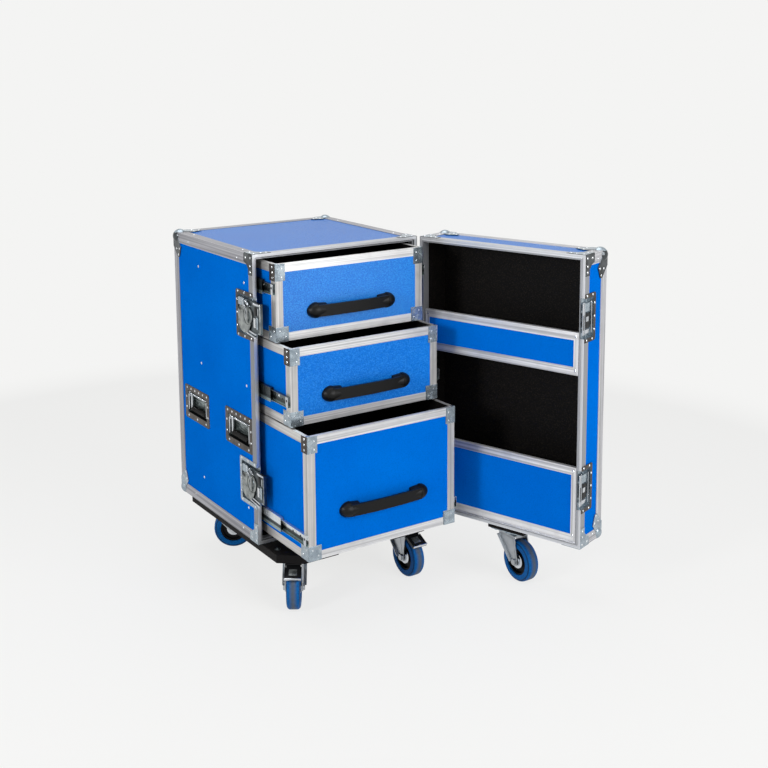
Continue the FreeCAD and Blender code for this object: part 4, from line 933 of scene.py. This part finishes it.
# The bars of a latch's hook and of a strike: name, two corners in millimetres, and finish. The black bars are
# painted shade in the pressings' hollows, the hook's web is painted shade, and the strike's post, side and
# lower bars are painted highlights along its edges
HOOK_BARS = [
    ("head", (-0.8, -36, 37), (2.4, 2, 43), "bright"),
    ("bar", (-1.8, -14, -27), (2.4, -3, 1), "rivet"),
    ("edge", (-0.8, -38.2, -42), (2.6, -35.6, 42), "satin"),
    ("strip", (-0.4, -27, -30), (2.4, -16, 4), "zinc"),
    ("mouth", (-0.9, -19, 8), (2.2, -5, 32), "shadow"),
    ("ridge", (-0.9, -30, 12), (2.2, -27, 31), "bright"),
    ("toe", (0.4, -36, -43), (2.3, -25, -39), "zinc"),
    ("web", (0.2, -35, 10), (2.2, -19, 34), "shade_zinc"),
]
STRIKE_BARS = [
    ("flange", (0.7, 0.4, -46), (3.0, 7.0, 46), "bright"),
    ("slot", (0.3, 1.6, -32), (1.0, 4.4, 10), "shadow"),
    ("post", (0.2, -4.2, -46), (3.2, -1.6, 46), "bright"),
    ("side", (0.0, -43, -45), (3.0, -40.5, 45), "bright"),
    ("dark", (3.0, -38, -30), (4.4, -6, 14), "shadow"),
    ("catch", (1.0, -26, -10), (4.6, -12, 4), "bright"),
    ("upper", (3.0, -38, 18), (4.4, -8, 42), "zinc"),
    ("lower", (2.6, -32, -44), (5.6, -9, -33), "bright"),
]


def bars(rows, group, body, places):
    """Sets the bars of a table, each as a piece of its own."""
    for part, low, high, finish_name in rows:
        slot = "black_plastic" if finish_name == "shadow" else "bright_plate"
        spread(block(low, high, 0.6), f"{group}_{part}", body, places, finish_name, slot)


class FLIGHTCASE_OT_latches(bpy.types.Operator):
    """Models the pressed covers, eyes and springs of the butterfly latches and strikes"""

    bl_idname = "flightcase.latches"
    bl_label = "Latch pressings"

    def execute(self, context):
        levels = list(LATCH_Z.values())
        mirrored = Matrix.Diagonal((1, 1, -1, 1))
        shield = pressing(crescent((56, -12), 40.0, (34, 0), 26.0), 2.0, 0.9)
        places = [seated(case_point(0.6, 0, z), (0, 1, 0), (0, 0, 1)) @ mirrored for z in levels]
        spread(shield, "latch_shields", "cabinet", places, "satin")
        # The latch's hole is a black disc: painted shade
        hole = lathe([(0, 0.4), (5.6, 0.4), (6.0, 0.0)], 16)
        eye = lathe([(6.0, 0.0), (6.1, 0.7), (6.9, 0.7), (7.2, -0.2)], 16)
        for piece, name, out, finish_name in ((hole, "holes", 2.2, "shadow"), (eye, "eyes", 2.1, "satin")):
            places = [facing(case_point(-out, EYE[0], z + EYE[1]), (-1, 0, 0)) for z in levels]
            spread(piece, f"latch_{name}", "cabinet", places, finish_name)
        tray = pressing([(-18, -11), (18, -13), (17, 11), (-14, 12), (-19, 8)], 2.0, 0.8)
        places = [seated(case_point(0.6, 71, z + 36), (0, -1, 0), (0, 0, 1)) for z in levels]
        spread(tray, "latch_trays", "cabinet", places, "zinc")
        spring = coil(3.4, 0.8, 2.6, 9)
        places = [facing(case_point(-0.6, 46, z + 42), (0, -0.86, -0.5)) for z in levels]
        places += [facing(case_point(-0.2, 50, z + 27), (0, -0.75, -0.66)) for z in levels]
        spread(spring, "latch_springs", "cabinet", places, "bright")
        arm = block((-1.2, -2.0, 0), (0.6, 2.0, 46), 0.6)
        shorter = Matrix.Scale(0.55, 4, (0, 0, 1))
        arms = []
        for z in levels:
            for y, rise, lean in ((56, 28, 128), (62, 48, 172)):
                turn = Matrix.Rotation(math.radians(lean), 4, "X")
                arms.append(case_place(-1.4, y, z + rise) @ turn @ shorter)
        spread(arm, "latch_arms", "cabinet", arms, "bright")
        sill = block((-1.2, -12, -2.4), (1.6, 46, 2.4), 1.0)
        sills = []
        for z in levels:
            for drop, inward in ((46, 1.2), (55, -0.2)):
                sills.append(case_place(inward, 0, z - drop) @ Matrix.Rotation(math.radians(7), 4, "X"))
        spread(sill, "latch_sills", "cabinet", sills, "bright")
        for word, z in LATCH_Z.items():
            knob = f"{word}_latch_knob"
            ring = lathe([(10.5, 0.0), (11, 1.0), (15, 1.2), (16, 0.0), (16, -0.3)], 24)
            over = facing(case_point(-0.5, KNOB_Y, z), (-1, 0, 0))
            spread(ring, f"{word}_knob_ring", knob, [over], "shade_zinc")
            # A bright bar on the knob's wing: painted highlight
            painted_highlight_bar = block((-1.2, 40, -13), (1.6, 43, 5), 0.8)
            spread(painted_highlight_bar, f"{word}_knob_painted_highlight_bar", knob, [case_place(-1.6, 0, z)], "bright")
            bars(HOOK_BARS, f"{word}_hook", f"{word}_latch_hook", [case_place(0, 0, z)])
        bars(STRIKE_BARS, "strike", "door", [DOOR_TURN @ case_place(0, 0, z) for z in levels])
        return {"FINISHED"}


class FLIGHTCASE_OT_grips(bpy.types.Operator):
    """Models the springs, pivot blocks and ribbed sleeves of the sprung side handles"""

    bl_idname = "flightcase.grips"
    bl_label = "Side handle springs and sleeves"

    def execute(self, context):
        sizes = context.scene.flightcase
        pivot_z = DISH_Z + GRIP_RISE
        spring = coil(sizes.spring_radius * 1000, sizes.spring_wire * 1000, 2.3, 38)
        springs = []
        for y in DISH_Y:
            springs += [facing(case_point(x, y - 44, pivot_z), (0, 1, 0)) for x in (BAIL_IN, WIDE - BAIL_IN)]
        spread(spring, "grip_springs", "cabinet", springs, "bright")
        handles = []
        for side in ("left", "right"):
            handles += [(side, f"{side}_{end}_bail", y) for end, y in zip(("front", "rear"), DISH_Y)]
        ring = lathe([(8.0, -1.1), (8.9, -0.7), (8.9, 0.7), (8.0, 1.1)], 18)
        for side, body, y in handles:
            x = BAIL_IN if side == "left" else WIDE - BAIL_IN
            z = DISH_Z - GRIP_DROP
            rings = [facing(case_point(x, y + step, z), (0, 1, 0)) for step in range(-42, 43, 7)]
            spread(ring, body.replace("bail", "sleeve_rings"), body, rings, "strap", keep=True)
        leg = block((-1.2, -2.6, -26), (1.4, 2.6, 25), 1.0)
        for side, body, y in handles:
            x = 2.0 if side == "left" else WIDE - 2.0
            legs = [case_place(x, y + step, DISH_Z) for step in (-DISH_LEG, DISH_LEG)]
            spread(leg, f"{body}_legs", body, legs, "bright", keep=True)
        discard(ring, leg)
        ear = block((-4, -3, -9), (4, 3, 9), 1.2)
        ears = []
        for y in DISH_Y:
            for x in (7, WIDE - 7):
                ears += [case_place(x, y + step, pivot_z) for step in (-DISH_LEG, DISH_LEG)]
        spread(ear, "grip_ears", "cabinet", ears, "bright")
        return {"FINISHED"}


# The outlines of a drawer's upper and lower corner leaf, in millimetres inward and up
LEAF = [
    (0.5, -0.5), (27, -0.5), (29.6, -1.6), (30.5, -4), (30.5, -42), (29.4, -45.2), (27, -46.5), (0.5, -46.5),
]
FOOT = [(0.5, 0.5), (38, 0.5), (39.5, 2), (39.5, 38), (37, 40.5), (0.5, 40.5)]


class FLIGHTCASE_OT_corners(bpy.types.Operator):
    """Models the rounded leaves of the drawer corners"""

    bl_idname = "flightcase.corners"
    bl_label = "Corner pressings"

    def execute(self, context):
        edge = DRAWER_IN - 1
        for level in LEVELS:
            low, high = DRAWER_Z[level]
            face = DRAWER_SHUT - PULL[level]
            body = DRAWER_BODY[level]
            for word, outline, z in (("leaves", LEAF, high + TRIM), ("feet", FOOT, low - TRIM)):
                places = []
                for x, side in ((edge, 1), (WIDE - edge, -1)):
                    place = seated(case_point(x, face - 1.3, z), (side, 0, 0), (0, 0, 1))
                    places.append(place @ Matrix.Diagonal((1, 1, side, 1)))
                spread(pressing(outline, 0.9, 0.4), f"{body}_{word}", body, places, "zinc")
        return {"FINISHED"}


# The outlines of a fork's cheek and of the rib on its flange, in millimetres along the trail and up
CHEEK = [(-27, 134), (30, 134), (33, 126), (44, 76), (36, 70), (24, 74), (-25, 124)]
RIB = [(-31, 128), (-29.2, 128), (29.4, 64), (28, 63)]


class FLIGHTCASE_OT_casters(bpy.types.Operator):
    """Models the cheeks and flange ribs of the caster forks, and the pads and lips of the brake pedals"""

    bl_idname = "flightcase.casters"
    bl_label = "Caster pressings"

    def execute(self, context):
        cheek = pressing(CHEEK, 0.9, 0.5)
        cover = lathe([(0, 3.0), (15, 3.0), (22, 1.2), (23, 0.0), (23, -0.5)], 24)
        rib = pressing(RIB, 1.6, 0.4)
        pad = block((20, -12, 3), (42, 12, 4.2), 0.6)
        lip = block((53.4, -24.5, 0.5), (57.0, 24.5, 8.6), 0.9)
        drop = Matrix.Translation((0.050, 0, 0.136)) @ Matrix.Rotation(math.radians(27), 4, "Y")
        for word in CASTERS:
            place = caster_place(word)
            cheeks = []
            covers = []
            ribs = []
            for way in (-1, 1):
                stand = Matrix.Translation((0, way * 0.0265, 0)) @ Matrix.Rotation(math.radians(90), 4, "X")
                turn = stand @ Matrix.Diagonal((1, 1, -way, 1))
                cheeks.append(place @ turn)
                hub = Matrix.Translation((0.038, way * 0.0155, 0.0625))
                covers.append(place @ hub @ Matrix.Rotation(math.radians(-90 * way), 4, "X"))
                for off in (0.0022, 0.0062):
                    ribs.append(place @ Matrix.Translation((0, way * off, 0)) @ turn)
            fork = f"{word}_fork"
            spread(cheek, f"{fork}_cheeks", fork, cheeks, "fork", keep=True)
            spread(cover, f"{word}_hub_covers", f"{word}_wheel", covers, "bright", keep=True)
            spread(rib, f"{fork}_ribs", fork, ribs, "bright", keep=True)
            if word in BRAKED:
                pedal = f"{word}_pedal"
                spread(pad, f"{pedal}_pad", pedal, [place @ drop], "satin", "black_pedal", keep=True)
                spread(lip, f"{pedal}_lip", pedal, [place @ drop], "bright", "black_pedal", keep=True)
        discard(cheek, cover, rib, pad, lip)
        bolt = lathe([(0, 3.4), (3.0, 3.2), (5.0, 1.8), (5.4, 0.9), (9.0, 0.9), (9.4, 0.2), (9.4, -0.2)], 16)
        heads = [facing(case_point(x, -55, -0.5), (0, 0, 1)) for x in (33, WIDE - 33)]
        spread(bolt, "board_bolts", "cabinet", heads, "shade_zinc")
        return {"FINISHED"}


class FLIGHTCASE_OT_slides(bpy.types.Operator):
    """Sets the screw holes and stops of the drawer slides"""

    bl_idname = "flightcase.slides"
    bl_label = "Slide details"

    def execute(self, context):
        # The rails' holes are black discs: painted shade
        hole = lathe([(0, 0.3), (3.4, 0.3), (3.8, 0.0)], 16)
        head = screw(1.1, 0.8)
        reach = context.scene.flightcase.rail_end * 1000
        rail = DRAWER_IN - TRIM
        for level in LEVELS:
            face = DRAWER_SHUT - PULL[level]
            z = RAIL_Z[level]
            body = DRAWER_BODY[level]
            spots = []
            screws = []
            for x, out in ((rail, -1), (WIDE - rail, 1)):
                spots += [facing(case_point(x, face + y, z), (out, 0, 0)) for y in (42, 84, 168, 210, 294)]
                screws += [facing(case_point(x, face + y, z + 5), (out, 0, 0)) for y in (63, 189, 315)]
            spread(hole, f"{body}_rail_holes", body, spots, "shadow", "zinc_steel", keep=True)
            spread(head, f"{body}_rail_screws", body, screws, "rivet", "zinc_steel", keep=True)
            near, far = box_of(f"slide_inner_{level}")
            middle = (near.z + far.z) / 2
            stop = block((-0.3, 0, -15), (0.3, reach, 15), 0.2)
            ends = [Matrix.Translation((x, near.y, middle)) for x in (near.x, far.x)]
            spread(stop, f"{body}_rail_ends", body, ends, "bright", "zinc_steel")
            bores = []
            for x, out in ((near.x - 0.0003, -1), (far.x + 0.0003, 1)):
                bores.append(facing((x, near.y + 0.0065, middle + 0.004), (out, 0, 0)))
            spread(hole, f"{body}_end_holes", body, bores, "shadow", "zinc_steel", keep=True)
        discard(hole, head)
        return {"FINISHED"}


COVE_WHITE = "F4F4F3"

# The photograph's viewpoint, found by fitting the cabinet's edges: metres, and degrees of turn, tilt and roll
CAMERA_AT = (-1.7850, -3.1837, 1.6044)
CAMERA_TURN = -33.1243
CAMERA_TILT = 8.8463
CAMERA_ROLL = -0.4503


class FLIGHTCASE_OT_stage(bpy.types.Operator):
    """Sets the pale floor, the soft lamps and the camera"""

    bl_idname = "flightcase.stage"
    bl_label = "Stage"

    def execute(self, context):
        sizes = context.scene.flightcase
        backdrop(context.scene.flightcase_colours.floor)
        lamp("key_softbox", (-3.4, -1.0, 1.9), (0, 0, 0.55), sizes.key_size, sizes.key_power)
        lamp("fill_softbox", (0.8, -3.8, 1.9), (0, 0, 0.5), sizes.fill_size, sizes.fill_power)
        lamp("top_softbox", (0.0, 0.2, 3.6), (0, 0, 0.5), 2.6, sizes.top_power)
        world_light(sizes.world_strength)
        camera(sizes.lens, sizes.shift)
        return {"FINISHED"}


def lamp(name, at, aim, size, power):
    """A square softbox aimed at a point."""
    light = bpy.data.lights.new(name, "AREA")
    light.energy = power
    light.shape = "RECTANGLE"
    light.size = size
    light.size_y = size
    body = bpy.data.objects.new(name, light)
    link(body)
    body.location = at
    body.rotation_euler = (Vector(aim) - Vector(at)).to_track_quat("-Z", "Y").to_euler()


def looked_at(tree):
    """One where the camera, or a ray off metal or through glass, looks at a surface."""
    path = add_node(tree, "ShaderNodeLightPath").outputs
    either = maths(tree, "MAXIMUM", path["Is Camera Ray"], path["Is Glossy Ray"])
    return maths(tree, "MAXIMUM", either, path["Is Transmission Ray"])


def backdrop(paint):
    """A pale floor that shows the same white to the camera as a lit cove would."""
    bpy.ops.object.select_all(action="DESELECT")
    bpy.ops.mesh.primitive_plane_add(size=40.0, location=(0, 0, 0))
    floor = bpy.context.object
    floor.name = "floor"
    material, tree, shader, spots = new_material("pale_cove_paint")
    shader.inputs["Base Color"].default_value = paint
    shader.inputs["Roughness"].default_value = 0.95
    shader.inputs["Specular IOR Level"].default_value = 0.0
    away = ramp(tree, vectors(tree, "LENGTH", spots), 0.0, 1.0, 0.9, 2.6, soft=True)
    share = maths(tree, "MULTIPLY", maths(tree, "MAXIMUM", away, 0.83), looked_at(tree))
    white = add_node(tree, "ShaderNodeEmission", {"Color": srgb(COVE_WHITE), "Strength": 1.0})
    blend = add_node(tree, "ShaderNodeMixShader", (), {0: share, 1: shader.outputs[0], 2: white.outputs[0]})
    surface = next(node for node in tree.nodes if node.type == "OUTPUT_MATERIAL")
    tree.links.new(blend.outputs[0], surface.inputs["Surface"])
    floor.data.materials.append(material)


def world_light(strength):
    """An even studio room: the same white to the camera as the floor, and brighter behind the case."""
    world = bpy.data.worlds.new("studio")
    bpy.context.scene.world = world
    world.use_nodes = True
    tree = world.node_tree
    tree.nodes.clear()
    way = add_node(tree, "ShaderNodeTexCoord").outputs["Generated"]
    behind = vectors(tree, "DOT_PRODUCT", way, (0.55, 0.83, 0.08))
    power = maths(tree, "MULTIPLY", ramp(tree, behind, 0.3, 1.0, 0.55, 0.95, soft=True), strength)
    room = add_node(tree, "ShaderNodeBackground", {"Color": srgb("F1F2F4")}, {"Strength": power})
    wall = add_node(tree, "ShaderNodeBackground", {"Color": srgb(COVE_WHITE), "Strength": 1.0})
    seen = looked_at(tree)
    both = add_node(tree, "ShaderNodeMixShader", (), {0: seen, 1: room.outputs[0], 2: wall.outputs[0]})
    add_node(tree, "ShaderNodeOutputWorld", links={"Surface": both.outputs[0]})


def camera(focal, shift):
    """The photograph's viewpoint, without depth of field."""
    lens = bpy.data.cameras.new("camera")
    lens.sensor_width = 36.0
    lens.lens = focal
    lens.shift_x = shift[0]
    lens.shift_y = shift[1]
    lens.clip_end = 60.0
    body = bpy.data.objects.new("camera", lens)
    link(body)
    turn = math.radians(CAMERA_TURN)
    tilt = math.radians(CAMERA_TILT)
    roll = math.radians(CAMERA_ROLL)
    look = Vector((-math.sin(turn) * math.cos(tilt), math.cos(turn) * math.cos(tilt), -math.sin(tilt)))
    across = look.cross(Vector((0, 0, 1))).normalized()
    up = across.cross(look)
    right = math.cos(roll) * across + math.sin(roll) * up
    over = -math.sin(roll) * across + math.cos(roll) * up
    axes = Matrix((right, over, -look)).transposed().to_4x4()
    body.matrix_world = Matrix.Translation(Vector(CAMERA_AT)) @ axes
    bpy.context.scene.camera = body


def size(name, description, default, unit="LENGTH"):
    """A size property, in metres unless its unit says otherwise."""
    return FloatProperty(name=name, description=description, default=default, unit=unit)


def colour(name, description, text):
    """A colour property with the default of a hex."""
    shown = {"name": name, "description": description, "subtype": "COLOR"}
    return FloatVectorProperty(size=4, default=srgb(text), **shown)


class FlightCaseSizes(bpy.types.PropertyGroup):
    """Sizes of the fittings and of the stage that a user would change"""

    rivet_radius: size("Rivet radius", "Radius of a rivet's head", 0.0036)
    rivet_height: size("Rivet height", "Height of a rivet's head", 0.0013)
    spring_radius: size("Spring radius", "Radius of a grip's coil", 0.0033)
    spring_wire: size("Spring wire", "Radius of the coil's wire", 0.00075)
    rail_end: size("Rail end", "Length of the bright end of a rail", 0.013)
    key_power: size("Key power", "Power of the key softbox", 62.0, "POWER")
    key_size: size("Key size", "Width of the key softbox", 0.8)
    fill_power: size("Fill power", "Power of the fill softbox", 92.0, "POWER")
    fill_size: size("Fill size", "Width of the fill softbox", 2.2)
    top_power: size("Top power", "Power of the overhead softbox", 40.0, "POWER")
    world_strength: size("World strength", "Strength of the even studio light", 0.9, "NONE")
    lens: size("Focal length", "The camera's focal length", 55.95, "CAMERA")
    shift: FloatVectorProperty(
        name="Lens shift", description="The camera's shift", size=2, default=(0.01546, -0.2)
    )


class FlightCaseColours(bpy.types.PropertyGroup):
    """Colours of the finishes that a user would change"""

    laminate_deep: colour("Laminate grain", "The pits of the laminate's grain", "0052A8")
    laminate: colour("Laminate", "The laminate's darker clouds", "0062C6")
    laminate_light: colour("Laminate light", "The laminate's lighter clouds", "006CD2")
    lining: colour("Lining", "The black lining between its grains", "060505")
    lining_glint: colour("Lining glint", "The lining's grains", "332D25")
    alloy: colour("Extrusion", "The darker lines of the cabinet's extrusions", "7C7C82")
    alloy_light: colour("Extrusion light", "The lighter lines of the cabinet's extrusions", "AFAFB5")
    zinc: colour("Zinc", "The zinc plate's bloom", "8E9AA4")
    zinc_light: colour("Zinc light", "The clear zinc plate", "A9B5BD")
    nickel: colour("Nickel", "The bright plate's bloom", "B9BEC4")
    nickel_light: colour("Nickel light", "The clear bright plate", "D5D9DE")
    vinyl: colour("Vinyl", "The strap handles' grain", "050505")
    vinyl_light: colour("Vinyl light", "The strap handles' tops of the grain", "0C0C0C")
    tyre: colour("Tyre", "The tyres' blue rubber", "004684")
    tyre_light: colour("Tyre light", "The tyres' scuffed blue rubber", "0562A6")
    floor: colour("Floor", "The pale floor", "F4F4F2")


class FLIGHTCASE_PT_panel(bpy.types.Panel):
    """Lists the steps that dress the case"""

    bl_label = "Flight case"
    bl_idname = "FLIGHTCASE_PT_panel"
    bl_space_type = "VIEW_3D"
    bl_region_type = "UI"
    bl_category = "Flight case"

    def draw(self, context):
        for operator in OPERATORS:
            self.layout.operator(operator.bl_idname)
        for group in (context.scene.flightcase, context.scene.flightcase_colours):
            for name in type(group).__annotations__:
                self.layout.prop(group, name)


OPERATORS = [
    FLIGHTCASE_OT_stage, FLIGHTCASE_OT_finishes, FLIGHTCASE_OT_rivets, FLIGHTCASE_OT_latches,
    FLIGHTCASE_OT_grips, FLIGHTCASE_OT_corners, FLIGHTCASE_OT_casters, FLIGHTCASE_OT_slides,
]
CLASSES = [FlightCaseSizes, FlightCaseColours, *OPERATORS, FLIGHTCASE_PT_panel]


def register():
    for kind in CLASSES:
        bpy.utils.register_class(kind)
    bpy.types.Scene.flightcase = PointerProperty(type=FlightCaseSizes)
    bpy.types.Scene.flightcase_colours = PointerProperty(type=FlightCaseColours)


def unregister():
    del bpy.types.Scene.flightcase_colours
    del bpy.types.Scene.flightcase
    for kind in reversed(CLASSES):
        bpy.utils.unregister_class(kind)


def main():
    register()
    for operator in OPERATORS:
        group, name = operator.bl_idname.split(".")
        getattr(getattr(bpy.ops, group), name)()
    bpy.context.scene.view_settings.view_transform = "Standard"


if __name__ == "__main__":
    main()
